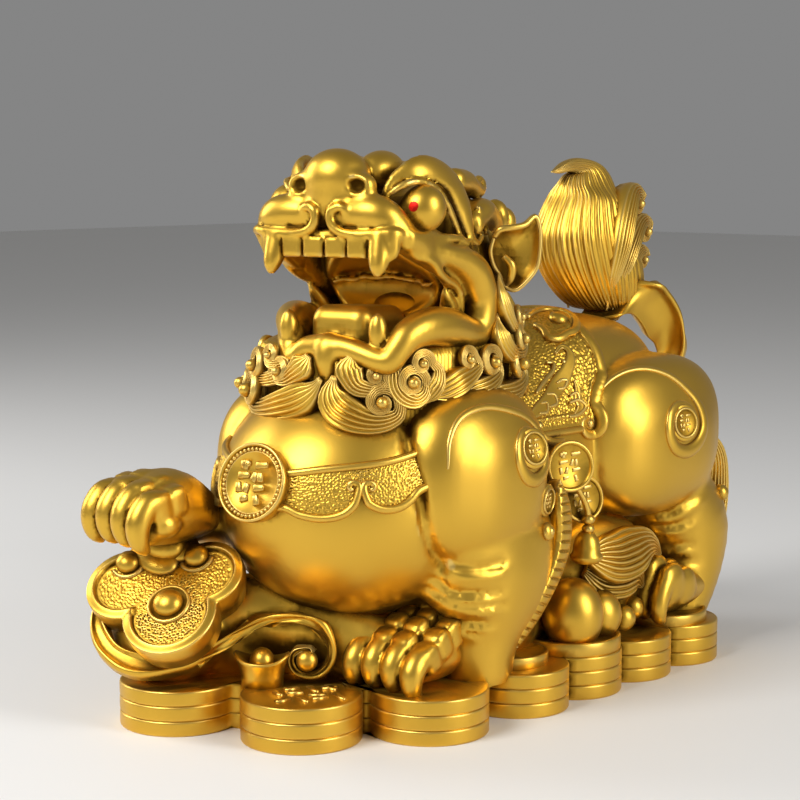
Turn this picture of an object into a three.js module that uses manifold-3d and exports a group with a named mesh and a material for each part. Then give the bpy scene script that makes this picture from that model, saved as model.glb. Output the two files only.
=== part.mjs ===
// A pixiu of cast brass: a horned, lion-like beast that stands on stacks of coins with one
// forepaw on the head of a ruyi sceptre. It is a single casting, so every form is joined
// into one solid. Millimetres, +Z up, the beast faces -Y, its left side is +X, and the
// origin lies on the underside, below the middle of the body.
import * as THREE from "three";
import { mergeVertices } from "three/addons/utils/BufferGeometryUtils.js";
import Module from "manifold-3d";

const wasm = await Module();
wasm.setup();

// Driving dimensions of the coin base
const coinThickness = 8.3;
const coinGroove = 1.2;
const coinsHigh = 3;
const smallCoinThickness = 7;
const smallCoinRadius = 22;
const frontStackRadius = 33;
const flankStackRadius = 30;
const flankHalfWidth = 64;
const flankPitch = 51;
const flankStart = 28;
const rearHalfWidth = 24;
const rearReach = 16;

// Driving dimensions of the figure
const figureHeight = 288; // from the coins' top to the crown of the nose
const medallionRadius = 21;
const medallionThickness = 6;
const rimThickness = 5.5;
const hangingCoinRadius = 13;
const hangingCoinThickness = 5;
const bellRadius = 9;
const toothWidth = 12.6;
const toothPitch = 13.4;
const headYaw = THREE.MathUtils.degToRad(12);

// Limits of the deburring: edge length, twice a face's area, cosine of a face's turn, and
// the height below which a corner belongs to the underside
const shortestEdge = 2.7;
const smallestFace = 0.02;
const sharpestTurn = 0.6;
const undersideHeight = 0.01;

const baseTop = coinsHigh * coinThickness;
// The figure's own measures are shares of its height: one share is its 288th part
const share = figureHeight / 288;

const V = (x, y, z) => new THREE.Vector3(x, y, z);
const up = V(0, 0, 1);
const sideways = V(1, 0, 0);
const forward = V(0, -1, 0);
const bothSides = [1, -1];

// A closed geometry as a solid that can be joined and cut
function solid(geometry) {
  const plain = geometry.clone();
  plain.deleteAttribute("normal");
  plain.deleteAttribute("uv");
  const merged = mergeVertices(plain, 1e-3);
  const corners = merged.index.array;
  const kept = [];
  for (let i = 0; i < corners.length; i += 3) {
    const [a, b, c] = [corners[i], corners[i + 1], corners[i + 2]];
    if (a !== b && b !== c && a !== c) kept.push(a, b, c);
  }
  const mesh = new wasm.Mesh({
    numProp: 3,
    vertProperties: merged.attributes.position.array,
    triVerts: new Uint32Array(kept),
  });
  return new wasm.Manifold(mesh);
}

const join = (solids) => solids.reduce((all, one) => all.add(one));

// Draws together the ends of each edge that is shorter than `shortest`, as a file takes the
// burrs off a joint. An edge stays if its loss would open the surface, fold it over or lift
// a corner off the underside.
function withoutBurrs(made, shortest) {
  const { vertProperties, triVerts } = made.getMesh();
  const corner = (i) => V(vertProperties[3 * i], vertProperties[3 * i + 1], vertProperties[3 * i + 2]);
  const corners = Array.from({ length: vertProperties.length / 3 }, (_, i) => corner(i));
  const faces = Array.from({ length: triVerts.length / 3 }, (_, i) => [...triVerts.slice(3 * i, 3 * i + 3)]);
  const facesAt = corners.map(() => new Set());
  faces.forEach((face, i) => face.forEach((c) => facesAt[c].add(i)));
  const normalOf = ([a, b, c]) =>
    corners[b].clone().sub(corners[a]).cross(corners[c].clone().sub(corners[a]));
  const neighbours = (c) => new Set([...facesAt[c]].flatMap((i) => faces[i]).filter((d) => d !== c));
  const canClose = (from, to) => {
    if (corners[from].z < undersideHeight) return false;
    const near = neighbours(to);
    if ([...neighbours(from)].filter((d) => near.has(d)).length !== 2) return false;
    return [...facesAt[from]].every((i) => {
      if (faces[i].includes(to)) return true;
      const before = normalOf(faces[i]);
      const after = normalOf(faces[i].map((d) => (d === from ? to : d)));
      const turn = before.dot(after) / (before.length() * after.length());
      return after.length() > smallestFace && turn > sharpestTurn;
    });
  };
  const close = (from, to) => {
    for (const i of [...facesAt[from]]) {
      if (faces[i].includes(to)) {
        faces[i].forEach((c) => facesAt[c].delete(i));
        faces[i] = null;
      } else {
        faces[i] = faces[i].map((c) => (c === from ? to : c));
        facesAt[to].add(i);
      }
    }
    facesAt[from].clear();
  };
  for (const limit of [shortest / 4, shortest / 2, shortest]) {
    for (let i = 0; i < faces.length; i++) {
      for (let k = 0; faces[i] && k < 3; k++) {
        const [a, b] = [faces[i][k], faces[i][(k + 1) % 3]];
        if (corners[a].distanceTo(corners[b]) >= limit) continue;
        if (canClose(a, b)) close(a, b);
        else if (canClose(b, a)) close(b, a);
      }
    }
  }
  const kept = faces.filter((face) => face).flat();
  const used = [...new Set(kept)];
  const place = new Map(used.map((c, i) => [c, i]));
  const mesh = new wasm.Mesh({
    numProp: 3,
    vertProperties: new Float32Array(used.flatMap((c) => corners[c].toArray())),
    triVerts: new Uint32Array(kept.map((c) => place.get(c))),
  });
  return new wasm.Manifold(mesh);
}

// Places figure geometry: shares of the figure's height, standing on the coins
const figureFrame = new THREE.Matrix4()
  .makeTranslation(0, 0, baseTop)
  .scale(V(share, share, share));
const headPivot = V(0, 10, 0);
const headFrame = figureFrame
  .clone()
  .multiply(new THREE.Matrix4().makeTranslation(headPivot))
  .multiply(new THREE.Matrix4().makeRotationZ(headYaw))
  .multiply(new THREE.Matrix4().makeTranslation(headPivot.clone().negate()));

// An egg: a sphere with three radii, tilted by `pitch` about X and turned by `yaw` about Z
function egg(centre, radii, options = {}) {
  const { around = 8, pitch = 0, yaw = 0, frame = figureFrame } = options;
  const turn = new THREE.Euler(THREE.MathUtils.degToRad(pitch), 0, THREE.MathUtils.degToRad(yaw), "ZYX");
  const place = new THREE.Matrix4().compose(
    V(...centre),
    new THREE.Quaternion().setFromEuler(turn),
    V(...radii),
  );
  const ball = new THREE.SphereGeometry(1, around, Math.round(around * 0.6)).rotateX(Math.PI / 2);
  return solid(ball.applyMatrix4(place).applyMatrix4(frame));
}

// Closes rings of equal count, from the first ring's end point to the last ring's, into a skin
function skinOf(rings, first, last) {
  const sides = rings[0].length;
  const faces = [];
  for (let i = 0; i < rings.length - 1; i++) {
    for (let k = 0; k < sides; k++) {
      const a = i * sides + k;
      const b = i * sides + ((k + 1) % sides);
      faces.push(a, b, a + sides, b, b + sides, a + sides);
    }
  }
  const count = rings.length * sides;
  for (let k = 0; k < sides; k++) {
    const next = (k + 1) % sides;
    faces.push(count, next, k, count + 1, count - sides + k, count - sides + next);
  }
  const corners = [...rings.flat(), first, last];
  return new THREE.BufferGeometry().setFromPoints(corners).setIndex(faces);
}

const roundSection = (sides) =>
  Array.from({ length: sides }, (_, k) => {
    const a = (2 * Math.PI * (k + 0.5)) / sides;
    return [Math.cos(a), Math.sin(a)];
  });

// A bar along a smooth curve. Each station is x, y, z, half its width and half its height,
// where `face` is the direction of its height; one number gives both. Its section is round
// unless the outline of another is given, with both halves 1.
function bar(stations, options = {}) {
  const { face = up, sides = 6, frame = figureFrame, section = roundSection(sides) } = options;
  const curve = new THREE.CatmullRomCurve3(stations.map(([x, y, z]) => V(x, y, z)));
  const last = stations.length - 1;
  const rings = stations.map(([, , , wide, high = wide], i) => {
    const along = curve.getTangent(i / last);
    const out = face.clone().cross(along).normalize();
    const top = along.clone().cross(out);
    return section.map(([u, v]) =>
      curve
        .getPoint(i / last)
        .addScaledVector(out, u * wide)
        .addScaledVector(top, v * high),
    );
  });
  const tipOf = (i, sign) => {
    const [, , , wide, high = wide] = stations[i];
    return curve.getPoint(i / last).addScaledVector(curve.getTangent(i / last), Math.min(wide, high) * 0.6 * sign);
  };
  return solid(skinOf(rings, tipOf(0, -1), tipOf(last, 1)).applyMatrix4(frame));
}

// A lock of hair: from its root it swings round `centre`, where a round curl ends it
function lock(root, centre, radius, normal, thick) {
  const c = V(...centre);
  const n = V(...normal).normalize();
  const toRoot = V(...root).sub(c);
  const e1 = toRoot.clone().addScaledVector(n, -toRoot.dot(n)).normalize();
  const e2 = n.clone().cross(e1);
  const stations = [[...root, thick * 0.8]];
  for (const turn of [50, 120, 200].map(THREE.MathUtils.degToRad)) {
    const p = c
      .clone()
      .addScaledVector(e1, Math.cos(turn) * radius)
      .addScaledVector(e2, Math.sin(turn) * radius);
    stations.push([...p.toArray(), thick * 0.75]);
  }
  return [
    bar(stations, { face: n, sides: 4 }),
    disc(c.addScaledVector(n, thick * 0.3).toArray(), normal, radius * 0.75, thick * 1.7, 6),
  ];
}

// A disc with a rounded edge, its flat face turned to `normal`
function disc(centre, normal, radius, thickness, around = 12) {
  const half = thickness / 2;
  const profile = [
    [0, -half],
    [radius, -half],
    [radius, half * 0.5],
    [radius - half * 0.5, half],
    [0, half],
  ].map(([r, h]) => new THREE.Vector2(r, h));
  const turn = new THREE.Quaternion().setFromUnitVectors(V(0, 1, 0), V(...normal).normalize());
  const place = new THREE.Matrix4().compose(V(...centre), turn, V(1, 1, 1));
  return solid(new THREE.LatheGeometry(profile, around).applyMatrix4(place).applyMatrix4(figureFrame));
}

// The outline of a closed chain of discs: each shows the arc that faces away from its
// neighbours, and a straight wall bridges two discs that don't meet
function chainOutline(chain, inset) {
  const points = [];
  chain.forEach(([x, y, fullRadius], i) => {
    const radius = fullRadius - inset;
    const before = chain.at(i - 1);
    const after = chain[(i + 1) % chain.length];
    const angleTo = ([px, py]) => Math.atan2(py - y, px - x);
    const trim = ([px, py]) => Math.acos(Math.min(1, Math.hypot(px - x, py - y) / 2 / radius));
    const start = angleTo(before) + trim(before);
    let end = angleTo(after) - trim(after);
    while (end < start) end += 2 * Math.PI;
    const pieces = 5;
    for (let k = 0; k <= pieces; k++) {
      const a = THREE.MathUtils.lerp(start + 0.02, end - 0.02, k / pieces);
      points.push(new THREE.Vector2(x + Math.cos(a) * radius, y + Math.sin(a) * radius));
    }
  });
  return points;
}

// The coins of the base: stacks along its edge, joined in the middle, with a groove between
// each two coins, and further coins on some stacks
function coinBase() {
  const flank = [0, 1, 2, 3].map((i) => flankStart + i * flankPitch);
  const rear = flank[3] + rearReach;
  const r = flankStackRadius;
  const chain = [
    [18, -99, frontStackRadius],
    [59, -42, frontStackRadius],
    ...flank.map((y) => [flankHalfWidth, y, r]),
    [rearHalfWidth, rear, r],
    [-rearHalfWidth, rear, r],
    ...flank.map((y) => [-flankHalfWidth, y, r]).reverse(),
    [-62, -24, r],
    [-64, -76, r],
    [-55, -121, frontStackRadius],
  ];
  const levels = [[0, coinGroove]];
  for (let i = 0; i < coinsHigh; i++) {
    const low = i * coinThickness;
    levels.push([low + coinThickness / 2, 0]);
    levels.push([low + coinThickness, coinGroove]);
  }
  const rings = levels.map(([z, inset]) => chainOutline(chain, inset).map(({ x, y }) => V(x, y, z)));
  const sides = rings[0].length;
  const faces = [];
  for (let i = 0; i < rings.length - 1; i++) {
    for (let k = 0; k < sides; k++) {
      const a = i * sides + k;
      const b = i * sides + ((k + 1) % sides);
      faces.push(a, b, a + sides, b, b + sides, a + sides);
    }
  }
  const lid = THREE.ShapeUtils.triangulateShape(chainOutline(chain, coinGroove), []);
  const topRing = (rings.length - 1) * sides;
  for (const [a, b, c] of lid) faces.push(c, b, a, topRing + a, topRing + b, topRing + c);
  const slab = new THREE.BufferGeometry().setFromPoints(rings.flat()).setIndex(faces);

  const coin = (x, y, radius, thickness) => {
    const profile = [
      [0, -coinGroove],
      [radius - coinGroove, -coinGroove],
      [radius, thickness / 2],
      [radius - coinGroove, thickness],
      [0, thickness],
    ].map(([across, high]) => new THREE.Vector2(across, high));
    const lathe = new THREE.LatheGeometry(profile, 10).rotateX(Math.PI / 2);
    return solid(lathe.translate(x, y, baseTop));
  };
  const extra = bothSides.flatMap((s) => [
    coin(s * (flankHalfWidth - 5), flank[0], smallCoinRadius, smallCoinThickness),
    coin(s * (flankHalfWidth - 1), flank[1], flankStackRadius, coinThickness),
    coin(s * (flankHalfWidth - 2), flank[3] - 6, flankStackRadius - 2, smallCoinThickness),
  ]);
  return [solid(slab), ...extra];
}

// The heap of treasure under the belly, which the beast stands over
const heap = () =>
  bar([[0, -30, 12, 40, 30], [0, 50, 18, 44, 36], [0, 150, 18, 44, 38], [0, 190, 10, 36, 28]], { sides: 8 });

// The trunk from chest to rump; `grow` lays a skin of that thickness over it
function trunk(grow = 0) {
  // y, height of the middle, half width, half height
  const sections = [
    [-107, 97, 26, 23],
    [-94, 97, 52, 46],
    [-70, 97, 72, 62],
    [-35, 98, 79, 70],
    [30, 103, 68, 66],
    [90, 111, 64, 71],
    [145, 116, 60, 73],
    [184, 117, 46, 54],
    [203, 117, 24, 28],
  ];
  const stations = sections.map(([y, z, wide, high], i) => {
    const end = i === 0 ? -grow : 0;
    return [0, y + end, z, wide + grow, high + grow];
  });
  return bar(stations, { sides: 14 });
}

const neck = () =>
  bar([[0, -26, 140, 48, 40], [4, 4, 200, 42, 26]], { face: forward, sides: 10 });

// A section with four toes side by side on top and a flat underside
function toeSection() {
  const outline = [
    [-0.9, -1],
    [0.9, -1],
  ];
  for (const middle of [0.75, 0.25, -0.25, -0.75]) {
    outline.push([middle + 0.235, 0.1]);
    outline.push([middle + 0.12, 0.9]);
    outline.push([middle - 0.12, 0.9]);
  }
  outline.push([-0.985, 0.1]);
  return outline;
}

// A paw: over the foot lie two rows of knuckles, and the toes bend down into long claws
function paw(centre, yaw, width, height) {
  const frame = figureFrame
    .clone()
    .multiply(new THREE.Matrix4().makeTranslation(...centre))
    .multiply(new THREE.Matrix4().makeRotationZ(THREE.MathUtils.degToRad(yaw)));
  const half = width / 2;
  const stations = [
    [0, 34, height * 0.38, half * 0.8, height * 0.36],
    [0, 13, height * 0.48, half * 0.95, height * 0.47],
    [0, 4, height * 0.43, half * 0.96, height * 0.42],
    [0, -6, height * 0.5, half, height * 0.49],
    [0, -15, height * 0.38, half, height * 0.37],
    [0, -19, height * 0.17, half * 0.9, height * 0.16],
  ];
  return bar(stations, { frame, section: toeSection() });
}

function legs() {
  const forms = [
    egg([58, 14, 100], [34, 43, 50], { around: 12 }),
    bar([[60, 18, 80, 34, 35], [61, 10, 36, 27, 31], [60, -3, 5, 24, 28]], { face: forward, sides: 8 }),
    egg([-56, -8, 98], [34, 43, 46], { around: 10 }),
    bar([[-56, -20, 92, 31, 33], [-59, -75, 84, 24, 25], [-60, -122, 96, 21, 19]], { sides: 8 }),
    paw([54, -46, 0], 4, 60, 42),
    paw([-60, -138, 76], -4, 54, 46),
  ];
  for (const s of bothSides) {
    forms.push(
      egg([s * 54, 180, 102], [34, 42, 57], { around: 12 }),
      bar([[s * 58, 190, 66, 33], [s * 62, 178, 6, 24]], { face: forward, sides: 8 }),
      paw([s * 66, 152, 7], s * 22, 46, 32),
    );
  }
  return forms;
}

// The raised rim that sweeps over a shoulder or haunch, and the small disc at its end
function spiralRim(s, centre, radii, eye) {
  const [cx, cy, cz] = centre;
  const [rx, ry, rz] = radii;
  const sweep = [205, 160, 115, 70, 25].map(THREE.MathUtils.degToRad);
  const stations = sweep.map((a, i) => [
    s * (cx + rx * (0.5 + 0.06 * i)),
    cy + Math.cos(a) * ry * 0.84,
    cz + Math.sin(a) * rz * 0.84,
    3.6,
  ]);
  const [ex, ey, ez] = eye;
  return [
    bar(stations, { face: sideways, sides: 3 }),
    disc([s * ex, ey, ez], [s, 0.15, 0.35], 9, 6, 8),
  ];
}

function rims() {
  return bothSides.flatMap((s) => {
    const shoulderY = s > 0 ? 14 : -8;
    return [
      ...spiralRim(s, [58, shoulderY, 100], [34, 43, 50], [86, shoulderY + 8, 122]),
      ...spiralRim(s, [54, 180, 102], [34, 42, 57], [82, 190, 124]),
    ];
  });
}

// A slab as thick as `depth` with a flat outline, to be cut from a skin
function slab(outline, depth, place) {
  const flat = new THREE.ExtrudeGeometry(outline, { depth, bevelEnabled: false, curveSegments: 3 });
  return solid(flat.applyMatrix4(place).applyMatrix4(figureFrame));
}

// The raised rim of the saddle cloth, which lies over the back: its outline is seen from the side
function saddleCloth() {
  const outline = (inset) => {
    const hem = 112 + inset;
    const front = 18 + inset;
    const rear = 132 - inset;
    const line = new THREE.Shape();
    line.moveTo(front, 220);
    line.lineTo(front, hem);
    line.quadraticCurveTo(60, hem - 8, 82 - inset, hem + 6);
    line.quadraticCurveTo(112 - inset, 136, rear - 4, 160);
    line.lineTo(rear, 220);
    line.closePath();
    return line;
  };
  const across = new THREE.Matrix4().makeBasis(V(0, 1, 0), V(0, 0, 1), V(1, 0, 0)).setPosition(-100, 0, 0);
  const whole = slab(outline(0), 200, across);
  const inner = slab(outline(7), 200, across);
  return [trunk(rimThickness).intersect(whole.subtract(inner))];
}

// The breast strap's raised rim, a scalloped band seen from the front, and its medallion
function breastStrap() {
  const outline = (inset) => {
    const line = new THREE.Shape();
    line.moveTo(-80, 134 - inset);
    line.quadraticCurveTo(0, 112 - inset, 80, 134 - inset);
    line.lineTo(80, 112 + inset);
    line.lineTo(60, 92 + inset);
    line.lineTo(38, 98 + inset);
    line.lineTo(16, 86 + inset);
    line.lineTo(-16, 86 + inset);
    line.lineTo(-38, 98 + inset);
    line.lineTo(-60, 92 + inset);
    line.lineTo(-80, 112 + inset);
    line.closePath();
    return line;
  };
  const toFront = new THREE.Matrix4().makeRotationX(Math.PI / 2).setPosition(0, -30, 0);
  const whole = slab(outline(0), 110, toFront);
  const inner = slab(outline(4), 110, toFront);
  return [
    trunk(rimThickness).intersect(whole.subtract(inner)),
    disc([0, -109, 114], [0, -1, 0.24], medallionRadius, medallionThickness * 2, 14),
  ];
}

// One side's features of the head
function headSide(s) {
  const frame = headFrame;
  const flip = (stations) => stations.map(([x, ...rest]) => [s * x, ...rest]);
  const tube = (stations, options) => bar(flip(stations), { frame, ...options });
  const lump = (centre, radii, options) => egg([s * centre[0], centre[1], centre[2]], radii, { frame, ...options });
  return [
    // nostril, whisker pad and the moustache that scrolls along the upper lip
    lump([18, -70, 268], [9, 9, 8], { around: 6 }),
    lump([25, -62, 252], [24, 24, 13], { around: 8, yaw: s * -10 }),
    tube([[10, -84, 256, 4], [6, -88, 248, 4], [20, -88, 243, 4], [40, -80, 243, 4], [47, -58, 244, 4], [48, -22, 212, 4]],
      { sides: 4 }),
    // fangs
    tube([[32, -79, 242, 7], [32, -80, 232, 6], [32, -82, 222, 2]], { face: forward, sides: 5 }),
    tube([[29, -72, 180, 6], [29, -74, 192, 5.5], [29, -75, 201, 2]], { face: forward, sides: 5 }),
    // cheek, jaw and the full lower lip, in one sweep round the mouth
    tube([[49, -30, 234, 11], [54, 2, 228, 14], [55, 8, 204, 14], [50, -6, 183, 12], [44, -44, 188, 8], [34, -74, 181, 7],
      [-1, -81, 188, 6]], { sides: 5 }),
    // eye and brow
    lump([37, -44, 258], [11, 17, 14], { around: 7, yaw: s * 20 }),
    tube([[20, -68, 267, 5], [29, -56, 278, 9], [36, -34, 281, 10], [45, -16, 266, 8], [50, -6, 243, 4]],
      { face: sideways, sides: 5 }),
    lump([9, -38, 279], [11, 16, 10], { around: 6 }),
    tube([[34, -14, 262, 10], [37, 18, 262, 8]], { sides: 5 }),
    // the horn lies back in three swellings
    tube([[37, 26, 252, 8], [38, 34, 254, 9], [38, 41, 252, 5], [38, 47, 252, 8], [38, 55, 246, 4]], { sides: 4 }),
    ear(s),
  ];
}

// A cupped, pointed ear
function ear(s) {
  const stations = [
    [s * 50, 4, 212, 6],
    [s * 59, 14, 222, 14, 9],
    [s * 65, 24, 236, 13, 6],
    [s * 68, 31, 253, 1.5],
  ];
  const cupped = [
    [1, 0.8],
    [0.5, 0.1],
    [-0.5, 0.1],
    [-1, 0.8],
    [-0.5, -0.8],
    [0.5, -0.8],
  ];
  return bar(stations, { face: V(s * 0.6, -0.8, 0), section: cupped, frame: headFrame });
}

function head() {
  const frame = headFrame;
  const tube = (stations, options) => bar(stations, { frame, ...options });
  const skull = egg([0, -2, 232], [49, 46, 50], { around: 10, frame });
  const mouth = egg([0, -52, 214], [32, 40, 20], { around: 8, frame });
  const forms = [
    skull.subtract(mouth),
    // upper jaw, nose and lower jaw
    tube([[0, 0, 250, 46, 36], [0, -40, 257, 43, 28], [0, -76, 260, 32, 20]], { sides: 8 }).subtract(mouth),
    egg([0, -68, 275], [20, 15, 14], { around: 8, frame }),
    tube([[0, 10, 190, 50, 26], [0, -36, 177, 43, 12], [0, -72, 179, 32, 8]], { sides: 8 }).subtract(mouth),
    tube([[0, -20, 194, 20, 8], [0, -64, 188, 15, 8]], { sides: 5 }),
    egg([0, -78, 170], [8, 8, 10], { around: 6, frame }),
  ];
  for (let i = 0; i < 4; i++) {
    const tooth = new THREE.BoxGeometry(toothWidth, 6, 14).translate((i - 1.5) * toothPitch, -80, 236);
    forms.push(solid(tooth.applyMatrix4(frame)));
  }
  return [...forms, ...headSide(1), ...headSide(-1)];
}

// The mane: locks that curl outwards, from the beard round to the nape
function mane() {
  // root, centre of the curl, its radius, half the lock's thickness
  const curls = [
    [[14, -74, 176], [38, -66, 168], 9, 8],
    [[8, -78, 166], [34, -72, 146], 11, 9],
    [[40, -54, 180], [52, -48, 160], 9, 8],
    [[46, -26, 192], [62, -16, 174], 9, 8],
    [[50, -4, 194], [62, 8, 172], 9, 8],
    [[50, 10, 204], [56, 26, 172], 9, 8],
    [[44, 26, 212], [46, 40, 188], 10, 8],
    [[14, 36, 212], [18, 54, 186], 10, 8],
  ];
  const forms = [
    egg([0, -16, 166], [60, 62, 28], { around: 12 }),
    egg([0, 12, 190], [54, 48, 40], { around: 10 }),
  ];
  for (const s of bothSides) {
    for (const [[rx, ry, rz], [cx, cy, cz], radius, thick] of curls)
      forms.push(...lock([s * rx, ry, rz], [s * cx, cy, cz], radius, [s * cx, cy + 24, 12], thick));
  }
  return forms;
}

// The tail: a ribbon that loops up from the rump into a flame of hair with three curled tips
function tail() {
  const stem = [
    [12, 190, 140, 13, 8],
    [22, 218, 154, 13, 9],
    [22, 235, 178, 13, 9],
    [10, 234, 197, 13, 8],
    [0, 206, 202, 12, 10],
  ];
  const flame = [
    [0, 200, 192, 12, 12],
    [0, 182, 212, 26, 42],
    [0, 184, 236, 26, 44],
    [0, 176, 258, 18, 26],
    [0, 160, 274, 9, 12],
    [0, 148, 278, 3, 4],
  ];
  return [
    bar(stem, { face: V(0, 1, 0.3), sides: 6 }),
    bar(flame, { face: forward, sides: 8 }),
    ...lock([0, 196, 222], [0, 222, 254], 8, [1, 0, 0], 15),
    ...lock([0, 200, 214], [0, 232, 236], 8, [1, 0, 0], 14),
    ...lock([0, 205, 206], [0, 230, 216], 7, [1, 0, 0], 12),
  ];
}

// The ruyi sceptre: a cloud-shaped head that faces up and forward, and a stem that winds into a scroll
function ruyi() {
  const cloud = new THREE.Shape();
  cloud.absarc(0, -17, 25, Math.PI * 1.08, Math.PI * 1.92, false);
  cloud.absarc(25, 8, 17, -Math.PI * 0.45, Math.PI * 0.5, false);
  cloud.absarc(0, 20, 17, Math.PI * 0.1, Math.PI * 0.9, false);
  cloud.absarc(-25, 8, 17, Math.PI * 0.5, Math.PI * 1.45, false);
  const edge = { depth: 12, bevelSize: 3, bevelThickness: 3, bevelSegments: 1, curveSegments: 4 };
  const normal = V(0.3, -0.62, 0.72).normalize();
  const across = up.clone().cross(normal).normalize();
  const rise = normal.clone().cross(across);
  const place = new THREE.Matrix4().makeBasis(across, rise, normal).setPosition(-60, -136, 42);
  const at = (x, y, h) => V(x, y, h).applyMatrix4(place).toArray();
  const plate = new THREE.ExtrudeGeometry(cloud, edge).applyMatrix4(place).applyMatrix4(figureFrame);
  return [
    solid(plate),
    egg(at(2, -16, 15), [8, 8, 7], { around: 6 }),
    egg(at(-24, 9, 15), [7, 7, 6], { around: 5 }),
    egg(at(24, 9, 15), [7, 7, 6], { around: 5 }),
    egg(at(0, 14, 16), [12, 12, 14], { around: 6 }),
    egg([-62, -132, 22], [38, 40, 24], { around: 8 }),
    bar([[-66, -172, 16, 7], [-38, -152, 10, 9], [-22, -118, 18, 8], [-8, -92, 35, 7], [8, -80, 40, 6], [18, -76, 26, 5],
      [10, -80, 10, 4], [2, -80, 18, 5]], { sides: 5 }),
    bar([[-66, -112, 18, 26, 28], [-20, -86, 20, 20, 24], [36, -60, 12, 18, 24]], { sides: 8 }),
    ...ingot(),
  ];
}

// A boat-shaped gold ingot: flaring sides with a dome between its raised ends
function ingot() {
  const hull = [
    [-16, -100, 0, 12, 8],
    [-16, -100, 10, 13, 8],
    [-16, -100, 17, 18, 10],
  ];
  return [
    bar(hull, { face: forward, sides: 6 }),
    egg([-16, -100, 20], [8, 7, 7], { around: 6 }),
  ];
}

// Treasures at each flank: hanging coins, a bell on its cord, fruits, a pearl, and locks of hair
function treasures() {
  const strand = (s, stations) =>
    bar(stations.map(([x, ...rest]) => [s * x, ...rest]), { face: sideways, sides: 5 });
  const pair = bothSides.flatMap((s) => {
    return [
      disc([s * 70, 62, 108], [s, 0.1, 0.1], hangingCoinRadius, hangingCoinThickness * 4),
      disc([s * 66, 74, 92], [s, 0.1, 0], hangingCoinRadius, hangingCoinThickness * 4),
      bar([[s * 70, 66, 96, 3], [s * 77, 72, 74, 3], [s * 78, 73, 70, 5], [s * 78, 74, 62, bellRadius]],
        { face: forward, sides: 6 }),
      egg([s * 66, 66, 27], [20, 20, 22], { around: 9 }),
      strand(s, [[68, 52, 108, 7], [74, 54, 80, 10, 8], [70, 44, 44, 9, 8], [64, 24, 12, 3]]),
      strand(s, [[58, 208, 120, 5], [60, 216, 92, 8], [60, 210, 60, 4]]),
    ];
  });
  return [
    ...pair,
    egg([62, 94, 24], [14, 14, 17], { around: 7 }),
    egg([72, 110, 6], [7, 7, 7], { around: 6 }),
    strand(1, [[58, 80, 56, 8], [68, 92, 46, 10, 12], [72, 108, 52, 10, 12], [74, 126, 50, 6, 8], [72, 138, 40, 3]]),
  ];
}

// A named mesh of a finished solid
function meshOf(name, made, material) {
  const { vertProperties, triVerts } = made.getMesh();
  const geometry = new THREE.BufferGeometry();
  geometry.setAttribute("position", new THREE.BufferAttribute(vertProperties, 3));
  geometry.setIndex(new THREE.BufferAttribute(triVerts, 1));
  geometry.computeVertexNormals();
  const mesh = new THREE.Mesh(geometry, material);
  mesh.name = name;
  return mesh;
}

const brass = new THREE.MeshStandardMaterial({ color: 0xd8a63c, metalness: 1, roughness: 0.35 });

const casting = withoutBurrs(join([
  ...coinBase(),
  heap(),
  trunk(),
  neck(),
  ...legs(),
  ...rims(),
  ...saddleCloth(),
  ...breastStrap(),
  ...head(),
  ...mane(),
  ...tail(),
  ...ruyi(),
  ...treasures(),
]), shortestEdge);

const pixiu = new THREE.Group();
pixiu.add(meshOf("pixiu", casting, brass));
export default pixiu;
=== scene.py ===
import math

import bpy
import numpy as np
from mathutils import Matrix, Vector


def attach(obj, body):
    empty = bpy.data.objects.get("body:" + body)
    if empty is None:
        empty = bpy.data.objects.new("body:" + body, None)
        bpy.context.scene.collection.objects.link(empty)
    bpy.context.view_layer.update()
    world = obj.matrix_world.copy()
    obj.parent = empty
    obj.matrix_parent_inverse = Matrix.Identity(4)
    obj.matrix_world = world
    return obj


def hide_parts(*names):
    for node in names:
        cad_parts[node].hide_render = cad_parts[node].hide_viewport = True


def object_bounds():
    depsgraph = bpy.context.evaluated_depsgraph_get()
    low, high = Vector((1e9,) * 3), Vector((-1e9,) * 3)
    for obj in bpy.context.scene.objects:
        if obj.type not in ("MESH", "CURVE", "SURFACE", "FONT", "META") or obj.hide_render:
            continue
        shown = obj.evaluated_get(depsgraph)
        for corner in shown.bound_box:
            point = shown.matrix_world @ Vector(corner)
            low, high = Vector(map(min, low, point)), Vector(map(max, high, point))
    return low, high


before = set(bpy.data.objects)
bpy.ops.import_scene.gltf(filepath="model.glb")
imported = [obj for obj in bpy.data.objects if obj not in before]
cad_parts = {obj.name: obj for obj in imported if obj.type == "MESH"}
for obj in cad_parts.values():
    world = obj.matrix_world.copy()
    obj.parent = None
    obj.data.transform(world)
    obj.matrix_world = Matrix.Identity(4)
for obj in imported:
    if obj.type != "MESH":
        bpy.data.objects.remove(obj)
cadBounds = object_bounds()


# Small helpers: all lengths are in millimetres until a mesh is made

def unit(vector):
    vector = np.asarray(vector, float)
    return vector / np.linalg.norm(vector)


def rotation(pitch=0.0, yaw=0.0):
    # turns about X (pitch), then Z (yaw), in degrees
    tip, spin = math.radians(pitch), math.radians(yaw)
    tipped = np.array([[1, 0, 0], [0, math.cos(tip), -math.sin(tip)], [0, math.sin(tip), math.cos(tip)]])
    spun = np.array([[math.cos(spin), -math.sin(spin), 0], [math.sin(spin), math.cos(spin), 0], [0, 0, 1]])
    return spun @ tipped


def smooth(low, high, value):
    # 0 below low, 1 above high, an S curve between
    t = np.clip((value - low) / (high - low), 0, 1)
    return t * t * (3 - 2 * t)


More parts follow.
